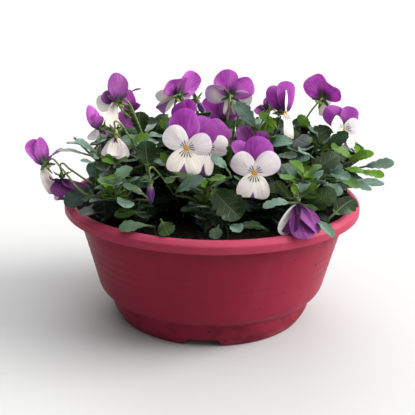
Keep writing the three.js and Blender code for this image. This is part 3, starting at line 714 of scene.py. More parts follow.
def pot_material():
    """Cloudy crimson plastic with a painted highlight on the rim, grimy at the foot and under the rim, with
    specks of dirt.
    """
    n = Nodes("pot_plastic")
    place = n.place()
    x, y, z = n.split(place)
    cloudy = n.noise(place, 9.0, 4.0)
    fine = n.noise(place, 420.0, 2.0)
    grime = n.noise(place, 38.0, 5.0, 0.7)
    streaks = n.noise(n.join(x * 60.0, y * 60.0, z * 5.0), 1.0, 4.0)
    color = n.mix(cloudy, "751b2b", "852338")
    color = n.mix(n.smooth(streaks, 0.5, 0.9, 0.0, 0.25), color, "a04458")
    # Painted highlight: the rim's outer band and its top are painted lighter, where light from above falls on
    # them.
    level = z + cloudy * 0.001
    lower_rim_light, upper_rim_light = [n.smooth(level, *edge, 0.0, 0.3) for edge in RIM_LIGHT_BANDS]
    color = n.mix(lower_rim_light + upper_rim_light, color, "b84a64")
    foot = n.smooth(z, *GRIMY_FOOT, 1.0, 0.0)
    neck = n.smooth(z, *GRIMY_NECK) * n.smooth(z, *CLEAN_BAND, 1.0, 0.0)
    dusty = n.most(foot * 0.8, neck * 0.55)
    dirt = dusty * n.smooth(grime, 0.42, 0.72)
    color = n.mix(dirt * 0.75, color, "3c1418")
    distance, pick = n.cells(place, 170.0)
    speck = n.smooth(distance, 0.12, 0.26, 1.0, 0.0) * n.smooth(pick, 0.9, 0.92)
    speck = speck * n.most(n.smooth(dusty, 0.1, 0.4), n.smooth(cloudy, 0.55, 0.62))
    color = n.mix(speck, color, "1c0d0b")
    roughness = n.smooth(grime, 0.3, 0.8, 0.36, 0.5) + dirt * 0.3
    normal = n.bump(fine * 0.12 + (streaks * 0.25 + speck), 0.35, 0.0004)
    return n.finish(n.principled(color, roughness, normal, Specular_IOR_Level=0.07))


def soil_material():
    n = Nodes("potting_soil")
    place = n.place()
    lumps = n.noise(place, 160.0, 5.0, 0.65)
    own = n.tint()[2]
    color = n.mix(n.smooth(lumps, 0.35, 0.75), "0c0907", "2b2019")
    distance, pick = n.cells(place, 520.0)
    fibre = n.smooth(pick, 0.93, 0.95) * n.smooth(distance, 0.1, 0.4, 1.0, 0.0)
    color = n.mix(fibre * 0.6, color, "6a5138")
    color = n.mix(n.smooth(own, 0.75, 1.0, 0.0, 0.8), color, "4a3424")
    normal = n.bump(lumps + n.noise(place, 900.0, 3.0), 0.8, 0.0012)
    return n.finish(n.principled(color, 0.95, normal, Specular_IOR_Level=0.25))


class PetalNodes(Nodes):
    """Nodes of a petal, which know the angle from its middle line and the distance from its root in mm."""

    def __init__(self, name):
        super().__init__(name)
        across, along = self.blade()
        self.angle = (across - 0.5) * math.pi
        self.radius = along * PETAL_UV_RADIUS
        self.margin, self.back, self.own, self.mark = self.tint()

    def streaks(self, fineness, stretch):
        """Soft streaks that run out from the root."""
        grain = self.join(self.angle * fineness, self.radius * stretch, self.own * 19.0)
        return self.noise(grain, 1.0, 3.0, 0.6)

    def veins(self, wobble, spacing, width):
        return self.lines((self.angle + wobble) / spacing, width)

    def whiskers(self, color, spacing, reach, start, length):
        """Dark lines near the root, within reach of the middle line, each fading out at its own length."""
        bent = self.angle + self.noise(self.join(self.radius, self.own, 0.0), 0.5, 1.0) * 0.12
        line = self.smooth(self.lines(bent / spacing + 0.5, 0.5), 0.35, 0.7)
        end = self.radius - self.noise(self.join(self.angle * 7.0, self.own, 3.0), 1.0, 0.0) * 3.4
        inside = self.smooth(abs(self.angle), reach, reach + 0.14, 1.0, 0.0)
        run = self.smooth(self.radius, start, start + 0.9) * self.smooth(end, length - 1.2, length, 1.0, 0.0)
        return self.mix(line * inside * run * (1.0 - self.back), color, "170a1f")

    def pale(self, cream, lilac, lilac_share):
        """A whitish petal with faint veins and a tinge of lilac along its margin, and its streaks."""
        streaks = self.streaks(9.0, 0.12)
        color = self.mix(self.smooth(streaks, 0.3, 0.75), cream, "f5f2ef")
        veins = self.veins(streaks * 0.12, 0.19, 0.2)
        color = self.mix(veins * self.smooth(self.radius, 6.0, 18.0, 0.22, 0.05), color, "9d8aa8")
        edge = self.smooth(self.margin + streaks * 0.25, 0.7, 1.08) * lilac_share
        return self.mix(edge, color, lilac), streaks

    def finish_pale(self, color, streaks):
        normal = self.bump(streaks, 0.4, 0.0005)
        surface = self.principled(color, 0.6, normal, Sheen_Weight=0.15, Specular_IOR_Level=0.3)
        return self.finish_thin(surface, self.mix(0.3, color, "ffffff"), 0.35, normal)


def upper_petal_material():
    n = PetalNodes("petal_purple")
    streaks = n.streaks(11.0, 0.1)
    broad = n.streaks(3.0, 0.12)
    soft = n.smooth(broad, 0.3, 0.7)
    color = n.mix(n.back, n.mix(soft, "93329a", "b44ab2"), n.mix(soft, "d868d6", "ee88ea"))
    # Painted highlight: the margin of an upper petal is painted lighter, as if lit along its edge.
    color = n.mix(n.smooth(n.margin, 0.72, 1.0, 0.0, 0.35), color, "cf6ad6")
    color = n.mix(n.smooth(streaks, 0.5, 0.68, 0.0, 0.4), color, "7c2490")
    veins = n.veins(broad * 0.1, 0.15, 0.16)
    color = n.mix(veins * n.smooth(n.radius, 12.0, 25.0, 0.5, 0.06), color, "54206e")
    color = n.mix(n.smooth(n.radius + streaks * 7.0, 6.0, 14.0, 0.9, 0.0), color, "45195f")
    # Painted shade: an upper petal that lies in shade is painted darker towards 4a0c4e, and the light through
    # it is dimmed to match.
    color = n.mix(n.mark, color, "4a0c4e")
    normal = n.bump(streaks + veins * -0.3, 0.45, 0.0006)
    velvet = dict(Sheen_Weight=0.25, Sheen_Roughness=0.4, Specular_IOR_Level=0.3)
    surface = n.principled(color, 0.62, normal, **velvet)
    return n.finish_thin(surface, n.mix(0.35 - n.mark * 0.35, color, "f080f0"), 0.46, normal)


def side_petal_material():
    n = PetalNodes("petal_white")
    color, streaks = n.pale("e8e1de", "c07cca", n.mark)
    soft = n.smooth(n.noise(n.join(n.angle, n.radius * 0.1, n.own), 2.0, 1.0), 0.45, 0.65, 0.0, 0.6)
    color = n.mix(soft * n.mark, color, "cfaadb")
    color = n.whiskers(color, 0.38, 0.54, 1.1, 4.0)
    color = n.mix(n.smooth(n.radius, 1.2, 2.6, 0.6, 0.0), color, "d9c36a")
    return n.finish_pale(color, streaks)


def lip_material():
    """The lowest petal: whitish, with whiskers round a yellow eye and a purple wedge at its tip."""
    n = PetalNodes("petal_lip")
    color, streaks = n.pale("efe6d6", "c9a9d4", 0.25)
    color = n.whiskers(color, 0.33, 0.78, 2.0, 5.4)
    ragged = n.radius + streaks * 1.2
    eye = 1.0 - n.back * 0.8
    color = n.mix(n.smooth(ragged, 2.6, 3.6, 1.0, 0.0) * eye, color, "eab02a")
    color = n.mix(n.smooth(ragged, 1.6, 3.0, 0.9, 0.0) * eye, color, "d8780e")
    wedge = (n.radius - n.mark - streaks * 0.8) * 0.024 - abs(n.angle)
    color = n.mix(n.smooth(wedge, -0.015, 0.025, 0.0, 0.95), color, n.mix(n.back, "5a1470", "a05cae"))
    return n.finish_pale(color, streaks)


def throat_material():
    n = Nodes("bloom_throat")
    fuzz = n.noise(n.place(), 1500.0, 3.0)
    own = n.tint()[2]
    color = n.mix(n.smooth(fuzz, 0.3, 0.7), "b8740c", "e0a01c")
    color = n.mix(n.smooth(own, 0.25, 0.35), color, "a9ab5e")
    return n.finish(n.principled(color, 0.7, n.bump(fuzz, 0.8, 0.0006)))


def stalk_material():
    n = Nodes("flower_stalk")
    along = n.tint()[0]
    color, normal = n.ribbed_green(700.0, "566c2e", "82964c")
    color = n.mix(n.smooth(along, 0.72, 0.95, 0.0, 0.45), color, "6b4a44")
    color = n.mix(n.smooth(along, 0.0, 0.3, 0.5, 0.0), color, "3f5a2c")
    return n.finish_thin(n.principled(color, 0.5, normal), color, 0.15, normal)


def petiole_material():
    n = Nodes("petiole_green")
    own = n.tint()[2]
    color, normal = n.ribbed_green(600.0, "2c4020", "4d6830")
    color = n.mix(n.smooth(own, 0.6, 1.0, 0.0, 0.5), color, "5d4038")
    return n.finish_thin(n.principled(color, 0.5, normal), color, 0.15, normal)


def sepal_material():
    n = Nodes("sepal_green")
    across, along = n.blade()
    own = n.tint()[2]
    ribs = n.lines(across * 5.0, 0.3)
    mottle = n.noise(n.place(), 500.0, 3.0)
    color = n.mix(n.smooth(mottle, 0.3, 0.7), "2c4420", "4a652e")
    color = n.mix(ribs * 0.3, color, "7d9450")
    color = n.mix(n.smooth(along, 0.6, 1.0, 0.0, 0.5), color, "4b3540")
    color = n.mix(n.smooth(own, 0.5, 1.0, 0.0, 0.4), color, "2f4a22")
    normal = n.bump(ribs, 0.3, 0.0003)
    return n.finish_thin(n.principled(color, 0.5, normal), n.mix(0.3, color, "a8c850"), 0.18, normal)


def bud_material():
    """Purple petals twisted round each other, whitish at the tip and green at the foot."""
    n = Nodes("bud_purple")
    around, along = n.blade()
    twist = around * 10.0 + along * 2.5
    streaks = n.noise(n.join(twist, along * 2.0, 0.0), 1.0, 3.0)
    seam = n.lines(twist * 0.3, 0.12)
    color = n.mix(n.smooth(streaks, 0.3, 0.7), "481660", "6f2a86")
    color = n.mix(seam * 0.6, color, "35104c")
    color = n.mix(n.smooth(along, 0.86, 1.0, 0.0, 0.8), color, "e6d8e8")
    color = n.mix(n.smooth(along, 0.0, 0.2, 0.5, 0.0), color, "8fa060")
    normal = n.bump(streaks - seam, 0.5, 0.0005)
    return n.finish_thin(n.principled(color, 0.55, normal, Sheen_Weight=0.2), color, 0.2, normal)


def leaf_material():
    """Mottled green with a midrib and side veins: dark when old, fresh when young, with a painted pale
    grey-green sheen on leaves of an age between and on a few at random.
    """
    n = Nodes("leaf_green")
    u, along = n.blade()
    age, under, own, _ = n.tint()
    across = abs(u - 0.5) * 2.0
    mottle = n.noise(n.place(), 130.0, 4.0)
    color = n.mix(age, n.mix(own, "081008", "101f10"), "70a412")
    color = n.mix(n.smooth(mottle, 0.35, 0.75, 0.0, 0.4), color, "1f3823")
    color = n.mix(n.smooth(mottle, 0.6, 0.3, 0.0, 0.35), color, "0c160f")
    side_veins = n.lines(along * 6.0 - across * 1.5, 0.16) * n.smooth(across, 0.4, 0.9, 0.4, 0.0)
    veins = n.most(side_veins, n.smooth(across, 0.02, 0.11, 0.85, 0.0))
    color = n.mix(veins * 0.36, color, n.mix(age, "48623f", "8fae45"))
    color = n.mix(under * 0.5, color, "2a3c26")
    color = n.mix(n.smooth(along, 0.0, 0.16, 0.45, 0.0), color, "8fa75c")
    # Painted sheen: leaves of an age between about 0.15 and 0.45, and a few others at random, are painted a
    # mottled pale bluish grey where light would glint on them.
    between = n.smooth(age, 0.12, 0.2) * n.smooth(age, 0.34, 0.5, 1.0, 0.0)
    pale = n.most(n.smooth(own, 0.8, 0.9, 0.0, 0.18), between)
    color = n.mix(pale * n.smooth(mottle, 0.2, 0.7, 0.4, 0.8), color, "748f86")
    normal = n.bump(mottle * 0.5 - veins * 0.7, 0.5, 0.0009)
    surface = n.principled(color, n.smooth(mottle, 0.3, 0.7, 0.26, 0.42), normal, Specular_IOR_Level=0.19)
    glow = n.mix(veins * 0.4, n.mix(age, "456f20", "b0dc30"), "3d6420")
    return n.finish_thin(surface, glow, n.smooth(age, 0.0, 1.0, 0.1, 0.4), normal)


# ---------------------------------------------------------------- pot and soil


def base_of(node):
    """Where a CAD stem or stalk stands on the soil, in mm: the middle of its lowest ring."""
    points = np.array([v.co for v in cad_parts[node].data.vertices]) / MM
    lowest = points[points[:, 2] < points[:, 2].min() + 0.05]
    return Vector(lowest.mean(0))


def add_prism(build, outline, low, high, place):
    """A prism of an (x, z) outline that runs along Y from low to high, put in place by a matrix."""
    count = len(outline)
    points = [place @ Vector((x, y, z)) for y in (low, high) for x, z in outline]
    faces = [tuple(range(count)), tuple(range(2 * count - 1, count - 1, -1))]
    faces += [(j, j + count, (j + 1) % count + count, (j + 1) % count) for j in range(count)]
    build.add([list(p) for p in points], faces)


def cutters():
    """What is cut out of the bowl: the foot notches and the drain holes."""
    build = Build()
    for k in range(NOTCH_COUNT):
        turn = Matrix.Rotation(NOTCH_TURN + TURN * k / NOTCH_COUNT, 4, "Z")
        add_prism(build, NOTCH_OUTLINE, *NOTCH_REACH, turn)
    angles = np.linspace(0, TURN, DRAIN_SIDES + 1)[:-1]
    circle = [(DRAIN_RADIUS * math.cos(a), DRAIN_RADIUS * math.sin(a)) for a in angles]
    upright = Matrix.Translation((0, -DRAIN_CIRCLE, 0)) @ Matrix.Rotation(math.radians(90), 4, "X")
    for k in range(DRAIN_COUNT):
        turn = Matrix.Rotation(DRAIN_TURN + TURN * k / DRAIN_COUNT, 4, "Z")
        add_prism(build, circle, *DRAIN_REACH, turn @ upright)
    return linked("cutters", build.mesh("cutters"))


def bowl_profile():
    corners = BOWL_UNDERSIDE + BOWL_OUTSIDE + BOWL_RIM + BOWL_INSIDE
    low, high = RIPPLE_BAND
    profile = []
    reached_rim = False
    for radius, height in subdivided(rounded(corners), PROFILE_STEP):
        reached_rim = reached_rim or height > BOWL_OUTSIDE[-1][1]
        if not reached_rim and low < height < high:
            fade = math.sin(math.pi * (height - low) / (high - low))
            radius += RIPPLE * fade * math.sin(TURN * height / RIPPLE_PITCH)
        profile.append((radius, height))
    return profile


def make_pot():
    build = Build()
    build.add(*revolved(bowl_profile(), BOWL_SEGMENTS))
    bowl = linked("pot_bowl", build.mesh("bowl"))
    cutter = cutters()
    cut = bowl.modifiers.new("openings", "BOOLEAN")
    cut.object = cutter
    cut.operation = "DIFFERENCE"
    cut.solver = "EXACT"
    shaped = bpy.data.meshes.new_from_object(bowl.evaluated_get(bpy.context.evaluated_depsgraph_get()))
    bowl.modifiers.clear()
    bpy.data.objects.remove(cutter)
    bowl.data = shaped
    shaped.materials.clear()
    shaped.materials.append(pot_material())
    dress(bowl, ["pot"], BOWL_SHARP)


def soil_height(x, y):
    """The level of the soil, with its lumps."""
    share = min(1.0, math.hypot(x, y) / SOIL_EDGE)
    level = SOIL_EDGE_HEIGHT + SOIL_CROWN * (1 - share**2)
    swell = noise.fractal(Vector((x, y, 0)) / SWELL_SIZE, 1.0, 2.0, 3)
    grain = noise.fractal(Vector((x, y, 40)) / GRAIN_SIZE, 0.8, 2.1, 3)
    return level + SOIL_ROUGHNESS * (1.2 * swell + 0.8 * grain) * (1 - 0.6 * share**8)


def make_soil(material):
    top = [(SOIL_EDGE * k / SOIL_RINGS, SOIL_EDGE_HEIGHT) for k in range(SOIL_RINGS, -1, -1)]
    points, faces = revolved(SOIL_SIDE + top, SOIL_SEGMENTS)
    for point in points:
        if point[2] >= SOIL_EDGE_HEIGHT:
            point[2] = soil_height(point[0], point[1])
    build = Build()
    build.add(points, faces)
    build.made("soil_bed", [material], "soil", ["soil"], sharp=80)


def make_crumbs(material):
    """Loose crumbs and bits of bark on the soil."""
    source = bmesh.new()
    bmesh.ops.create_icosphere(source, subdivisions=1, radius=1)
    ball = np.array([v.co for v in source.verts])
    faces = [tuple(v.index for v in face.verts) for face in source.faces]
    source.free()
    dice = random.Random("crumbs")
    build = Build()
    for _ in range(CRUMB_COUNT):
        angle = dice.uniform(0, TURN)
        radius = SOIL_EDGE * math.sqrt(dice.uniform(0.02, 0.97))
        x, y = radius * math.cos(angle), radius * math.sin(angle)
        size = dice.choice(CRUMB_SIZES)
        stretch = np.array([dice.uniform(*limits) for limits in CRUMB_STRETCHES]) * size
        rough = 1 + np.array([[dice.uniform(-CRUMB_ROUGHNESS, CRUMB_ROUGHNESS)] for _ in ball])
        turn = Matrix.Rotation(dice.uniform(0, ROUGH_TURN), 3, "Z")
        turn = turn @ Matrix.Rotation(dice.uniform(-CRUMB_TILT, CRUMB_TILT), 3, "X")
        place = np.array([x, y, soil_height(x, y) + 0.2 * size])
        crumb = (ball * rough * stretch) @ np.array(turn).T + place
        build.add(crumb, faces, tint=(0, 0, dice.random(), 0))
    build.made("soil_crumbs", [material], "soil")


# ---------------------------------------------------------------- blooms


def petal_grid(kind, length, width, dice):
    """A petal from its root along +Y that faces +Z, with its map and how near each row is to its margin."""
    shape = PETAL_SHAPES[kind]
    spread = math.radians(shape["spread"])
    share = np.linspace(PETAL_ROOT, 1, PETAL_GRID[0])[:, None]
    angle = np.linspace(-spread, spread, PETAL_GRID[1])[None, :]
    oval = np.cos(angle) ** 2 / (length / 2) ** 2 + np.sin(angle) ** 2 / (width / 2) ** 2
    radius = share * (2 * np.cos(angle) / (length / 2) / oval)
    far = radius * np.cos(angle) / length
    x = radius * np.sin(angle) * (1 + shape["flare"] * (far - 0.45))
    x = x * (width / 2) / x.max()
    y = far * length * (1 + shape["square"] * (1 - far**4))
    if kind == "lip":
        y = y - 0.4 * np.exp(-((angle / 0.14) ** 2)) * share**6
    phase = dice.uniform(0, ROUGH_TURN)
    ruffle = shape["ruffle"] * share**4 * np.sin(dice.uniform(5, 7) * angle + phase)
    folds = shape["folds"] * np.sin(9 * angle + phase) * share
    cheeks = -shape["cheek"] * (2 * x / width) ** 2
    crease = -0.25 * np.exp(-((angle / 0.1) ** 2)) * share * (1.05 - share)
    z = shape["curl"] * far**2 + 0.6 * np.sin(math.pi * far) + ruffle + folds + cheeks + crease
    uv = stacked(0.5 + np.arctan2(x, y) / math.pi, np.hypot(x, y) / PETAL_UV_RADIUS)
    return stacked(x, y, z), uv, share


def seen(right, up, away):
    """A step in the pot's axes, from one along the axes of somebody who looks down at it by VIEW_TILT."""
    sine, cosine = math.sin(VIEW_TILT), math.cos(VIEW_TILT)
    return Vector((right, sine * up + cosine * away, cosine * up - sine * away))


def add_petals(build, place, petals, dice):
    """Adds the five petals of a bloom whose throat and axes are given by its place."""
    ahead = (place.to_3x3() @ UP).normalized()
    for back, (kind, right, up, away, width, mark, roll) in zip(PETAL_BACK, petals or OPEN_PETALS):
        tip = seen(right, up, away) if petals else place.to_3x3() @ Vector((right, up, -away))
        grid, uv, share = petal_grid(kind, tip.length, width, dice)
        turn = aligned(place.translation - ahead * back, tip, ahead)
        turn = turn @ Matrix.Rotation(math.radians(roll), 4, "Y")
        tint = stacked(share, 0, dice.random(), mark)
        add_sheet(build, moved(grid, turn), PETAL_SHEET, uv, tint, PETAL_SLOTS.index(kind))


def add_throat(build, place, knob_size):
    """The knob in the throat, and the spur behind."""
    knob, faces = revolved(KNOB_OUTLINE, THROAT_SIDES)
    own = 0.1 if knob_size == 1 else 0.5
    slot = PETAL_SLOTS.index("throat")
    build.add(moved(knob * knob_size, place), faces, tint=(0, 0, own, 0), slot=slot)
    path = smooth_path([place @ Vector(p) for p in SPUR_KNOTS], 3)
    radii = [SPUR_RADIUS * math.sqrt(max(0.06, 1 - (k / len(path)) ** 3)) for k in range(len(path))]
    add_tube(build, path, radii, SPUR_SIDES, (0, 0, 0.5, 0), slot)


def add_sepal(build, place, length, width, bend, dice):
    along = np.linspace(0, 1, SEPAL_GRID[0])[:, None]
    across = np.linspace(-1, 1, SEPAL_GRID[1])[None, :]
    half = width / 2 * (0.35 + 1.1 * along) ** 0.5 * np.maximum(1 - along, 0.002) ** 0.62 * 1.25
    grid = stacked(across * half, along * length, bend * along**2 - 0.35 * (1 - across**2) * half)
    uv = stacked(0.5 + across / 2, along)
    add_sheet(build, moved(grid, place), SEPAL_SHEET, uv, (0, 0, dice.random(), 0), SEPAL_SLOT)


def add_calyx(build, place, dice, scale=1.0):
    """Five pointed sepals on a cup behind the throat, each with a short ear that points back."""
    cup, faces = revolved(CUP_OUTLINE, THROAT_SIDES)
    build.add(moved(cup - [0, 0, CALYX_BACK], place), faces, tint=(0.9, 0, 0.4, 0), slot=SEPAL_SLOT)
    for k in range(SEPAL_COUNT):
        turn = math.pi * (1 + 2 * k) / SEPAL_COUNT + dice.uniform(-0.12, 0.12)
        around = place @ Matrix.Rotation(turn, 4, "Z") @ Matrix.Translation((0, 0, -CALYX_BACK - 0.8))
        swept = around @ Matrix.Rotation(math.radians(SEPAL_SWEEP + dice.uniform(-9, 9)), 4, "X")
        length = scale * dice.uniform(*SEPAL_LENGTHS)
        add_sepal(build, swept, length, scale * SEPAL_WIDTH, dice.uniform(*SEPAL_BENDS), dice)
        ear = around @ Matrix.Rotation(math.radians(EAR_SWEEP), 4, "X") @ Matrix.Rotation(math.pi, 4, "Y")
        add_sepal(build, ear, **EAR, dice=dice)


def add_stalk(build, place, base, dice, via=None):
    """A stalk from the soil up to the calyx: straight past a given point, or else over its own neck."""
    calyx = place @ Vector((0, 0, -CALYX_BACK - 0.8 * CALYX_LENGTH))
    crook = place @ Vector((0, 0, -CALYX_BACK - CALYX_LENGTH - 0.8 * CROOK)) + UP * 2
    if via:
        middle = Vector(via)
        neck = middle.lerp(crook, 0.75)
    else:
        neck = crook.lerp(base, 0.22)
        neck.z = crook.z - 0.18 * (crook.z - base.z) + 3
        middle = base.lerp(neck, 0.5) + UP * 4
    path = smooth_path([base - UP * 3, base + UP * 4, middle, neck, crook, calyx], 7)
    tint = (0, 0, dice.random(), 0)
    add_tube(build, path, tapered(*STALK_TAPER, len(path)), STALK_SIDES, tint, STALK_SLOT)


def place_of(pose):
    turn = facing(pose["yaw"], pose["pitch"], pose.get("roll", 0))
    return Matrix.Translation(pose["at"]) @ turn.to_matrix().to_4x4()


def make_bloom(name, pose, petal_looks, green_looks):
    """Makes a bloom, and its stalk with the calyx. Returns the bloom's place."""
    dice = random.Random(name)
    place = place_of(pose)
    petals = Build()
    add_petals(petals, place, pose.get("petals"), dice)
    add_throat(petals, place, pose.get("knob", 1))
    petals.made(f"petals_{name}", petal_looks, "petals", [f"bloom_{name}"])
    green = Build()
    add_calyx(green, place, dice)
    add_stalk(green, place, base_of(f"stalk_{name}"), dice, pose.get("via"))
    green.made(f"calyx_and_stalk_{name}", green_looks, "stalk", [f"stalk_{name}"])
    return place


def make_bud(name, pose, materials):
    """Petals still rolled into a barrel, on their calyx and stalk. Returns the bud's place."""
    dice = random.Random("bud " + name)
    length = pose["length"]
    place = place_of(pose)
    outline = [Vector((radius * length, height * length)) for radius, height in BUD_OUTLINE]
    points, faces = revolved(subdivided(outline, BUD_STEP), BUD_SIDES)
    angle = np.arctan2(points[:, 1], points[:, 0])
    points[:, :2] *= (1 + 0.07 * np.sin(3 * angle + points[:, 2] * 0.45))[:, None]
    uv = stacked(angle / TURN + 0.5, np.clip(points[:, 2] / length, 0, 1))
    build = Build()
    build.add(moved(points, place), faces, uv, slot=BUD_SLOT)
    add_calyx(build, place, dice, 0.85)
    neck = [place @ Vector((0, 0, height)) for height in BUD_NECK]
    add_tube(build, neck, list(BUD_NECK.values()), 10, (0.5, 0, 0.3, 0), STALK_SLOT)
    add_stalk(build, place, base_of(f"bud_{name}"), dice)
    build.made(f"flower_bud_{name}", materials, "stalk", [f"bud_{name}"])
    return place


# ---------------------------------------------------------------- foliage


def blade_grid(length, width, grid, teeth, depth, arch, cup, spoon, dice):
    """A blade from its foot at the origin to its tip on +Y, arching up between them, with its top on +Z."""
    step = np.linspace(0, 1, grid[0])[:, None]
    along = (0.5 - 0.5 * np.cos(math.pi * step)) * 0.35 + step * 0.65
    half = np.maximum(along, 0.006) ** spoon * np.maximum(1 - along, 0.004) ** 0.5
    half = half / half.max() * width / 2
    lobes = np.abs(np.sin(math.pi * teeth * step)) ** 0.7 - 0.75
    half = half * (1 + depth * lobes * np.sin(math.pi * np.clip(step * 1.15 - 0.1, 0, 1)))
    half = np.maximum(half, 0.45)
    bend = math.radians(arch) * (0.5 - along)
    stride = np.diff(along, axis=0, prepend=0) * length
    across = np.linspace(-1, 1, grid[1])[None, :]
    side = np.abs(across)
    phase = dice.uniform(0, ROUGH_TURN)
    wave = 0.07 * width * np.sin(along * 8 + phase + 1.2 * np.sign(across)) * side**2
    quilt = 0.28 * np.cos(TURN * (6 * along - 1.5 * side)) * side * (1 - side) * 2
    lift = cup * side**1.5 * half + wave * np.sin(math.pi * along) + quilt * (width > 7)
    y = np.cumsum(stride * np.cos(bend), axis=0) - lift * np.sin(bend)
    z = np.cumsum(stride * np.sin(bend), axis=0) + lift * np.cos(bend)
    return stacked(across * half, y, z), stacked(0.5 + across / 2, along)


def add_blade(build, foot, tip, face, width, age, kind, dice, **changes):
    """Adds a blade of a kind in BLADES, with any changes to it. Returns the points of its midrib."""
    shape = {**BLADES[kind], **changes}
    for key, drawn in BLADE_DRAWS.items():
        if key not in shape:
            shape[key] = dice.uniform(*drawn)
    half_arch = math.radians(shape["arch"]) / 2
    length = (tip - foot).length * half_arch / math.sin(half_arch)
    grid, uv = blade_grid(length, width, dice=dice, **shape)
    placed = moved(grid, aligned(foot, tip - foot, face))
    add_sheet(build, placed, LEAF_SHEET, uv, (age, 0, dice.random(), 0), BLADE_SLOT)
    return placed[:, shape["grid"][1] // 2]


def add_leaf(build, root, leave, foot, tip, face, width, age, kind, dice, **changes):
    """A blade on a petiole that leaves the stem at root and runs on under the blade as its midrib."""
    midrib = add_blade(build, foot, tip, face, width, age, kind, dice, **changes)
    below = -(face.normalized()) * RIB_DEPTH
    rib = [Vector(midrib[round(share * len(midrib))]) + below for share in RIB_SHARES]
    reach = (foot - root).length
    bend = root + leave.normalized() * reach * 0.4
    run_in = rib[0] - (rib[1] - rib[0]).normalized() * reach * 0.3
    petiole = smooth_path([root, bend.lerp(run_in, 0.25), run_in.lerp(bend, 0.2), rib[0]], 2)
    thick = 0.75 + 0.02 * width
    radii = [thick * share for share in tapered(1, 0.2, len(petiole))] + RIB_RADII
    add_tube(build, petiole + rib[1:], radii, PETIOLE_SIDES, (0, 0, dice.random(), 0), STEM_SLOT)


def add_scale(build, root, outward, age, dice):
    """One of the pair of deeply lobed leafy scales where a leaf leaves the stem."""
    length = dice.uniform(*SCALE_LENGTHS)
    direction = (outward + UP * dice.uniform(*SCALE_RISES)).normalized()
    askew = Vector((dice.uniform(-0.4, 0.4), dice.uniform(-0.4, 0.1), 0))
    face = (UP * 0.8 - outward * 0.5 + askew).normalized()
    width = length * SCALE_WIDTH_SHARE
    add_blade(build, root, root + direction * length, face, width, age, "scale", dice)


def is_inside(point, box):
    return all(low < v < high for low, v, high in zip(box[0], point, box[1]))


class Space:
    """Keeps leaves off the flowers, out of the view of them, and apart from each other."""

    def __init__(self, blooms):
        self.blooms = blooms
        self.leaves = []

    def hides_bloom(self, point):
        for place, size in self.blooms:
            throat = place.translation
            if (point - throat - place.to_3x3() @ UP * 5).length < BLOOM_REACH * size:
                return True
            sight = throat - UP * 4 * size - EYE
            share = (point - EYE).dot(sight) / sight.length_squared
            if share < 1 and (EYE + sight * share - point).length < SIGHT_REACH * size * share:
                return True
        return False

    def is_free(self, foot, tip, width):
        middle = foot.lerp(tip, 0.55)
        if any(is_inside(point, box) for box in CLEARINGS for point in (middle, tip)):
            return False
        for other, other_width in self.leaves:
            if (middle - other).length < LEAF_SPACING * (width + other_width) + LEAF_GAP:
                return False
        return not any(self.hides_bloom(foot.lerp(tip, share)) for share in (0.3, 0.65, 1))

    def take(self, foot, tip, width):
        self.leaves.append((foot.lerp(tip, 0.55), width))


def under_canopy(tip):
    """Whether a leaf's tip is below the dome that the plants fill, which falls off from the middle."""
    fall = CANOPY_FALL * (abs(tip.x) / CANOPY_REACH) ** CANOPY_POWER
    return tip.z + 0.25 * abs(tip.y) < CANOPY_HEIGHT - fall


def nearest_root(spots, foot):
    """The spot, well below the foot of a blade, from which its petiole would be shortest."""
    return min(spots, key=lambda spot: (spot - foot).length + abs((foot.z - spot.z) - PETIOLE_DROP))


def make_front_leaves(stems, materials, space):
    """The leaves that stand out in front, each on a petiole from the nearest shoot or from the soil."""
    build = Build()
    dice = random.Random("heroes")
    for foot, tip, width, face, age in FRONT_LEAVES:
        foot, tip = Vector(foot), Vector(tip)
        space.take(foot, tip, width)
        inward = Vector((foot.x * 0.86, foot.y * 0.86, 0))
        spots = [point for stem in stems for point in stem[2:] if point.z < foot.z - 2]
        spots.append(Vector((inward.x, inward.y, soil_height(inward.x, inward.y) - 1)))
        root = nearest_root(spots, foot)
        leave = foot - root + UP * PETIOLE_LIFT
        own = dict(arch=dice.uniform(*FRONT_ARCHES), teeth=6 if width > 10 else 5)
        add_leaf(build, root, leave, foot, tip, Vector(face), width, age, "front", dice, **own)
    build.made("front_leaves", materials, "leaf")


def make_inner_leaves(stems, materials, space):
    """Leaves in the middle and at the back that stand close, so that nothing shows between the shoots."""
    halves = {"left": Build(), "right": Build()}
    dice = random.Random("filling")
    for _ in range(INNER_TRIES):
        tip = Vector([dice.uniform(*side) for side in INNER_BOX])
        outward = Vector((tip.x, tip.y - 10, 0)).normalized() * 0.7
        outward += Vector((dice.uniform(-1, 1), dice.uniform(-0.9, 0.3), 0))
        length = dice.uniform(*INNER_LENGTHS)
        foot = tip - (outward.normalized() + UP * dice.uniform(0.1, 1)).normalized() * length
        width = length * dice.uniform(*INNER_WIDTH_SHARES)
        is_near = math.hypot(tip.x / 1.1, tip.y) <= INNER_REACH
        if not (is_near and under_canopy(tip) and space.is_free(foot, tip, width)):
            continue
        space.take(foot, tip, width)
        spots = [point for stem in stems for point in stem[1:] if point.z < foot.z - 2]
        root = nearest_root(spots, foot)
        face = Vector((dice.uniform(-0.5, 0.5), dice.uniform(-0.9, -0.3), dice.uniform(0.4, 0.9)))
        face.normalize()
        age = dice.choice(INNER_AGES)
        half = halves["left" if tip.x < 0 else "right"]
        leave = foot - root + UP * PETIOLE_LIFT
        add_leaf(half, root, leave, foot, tip, face, width, age, "inner", dice)
    for side, half in halves.items():
        half.made(f"inner_leaves_{side}", materials, "leaf")


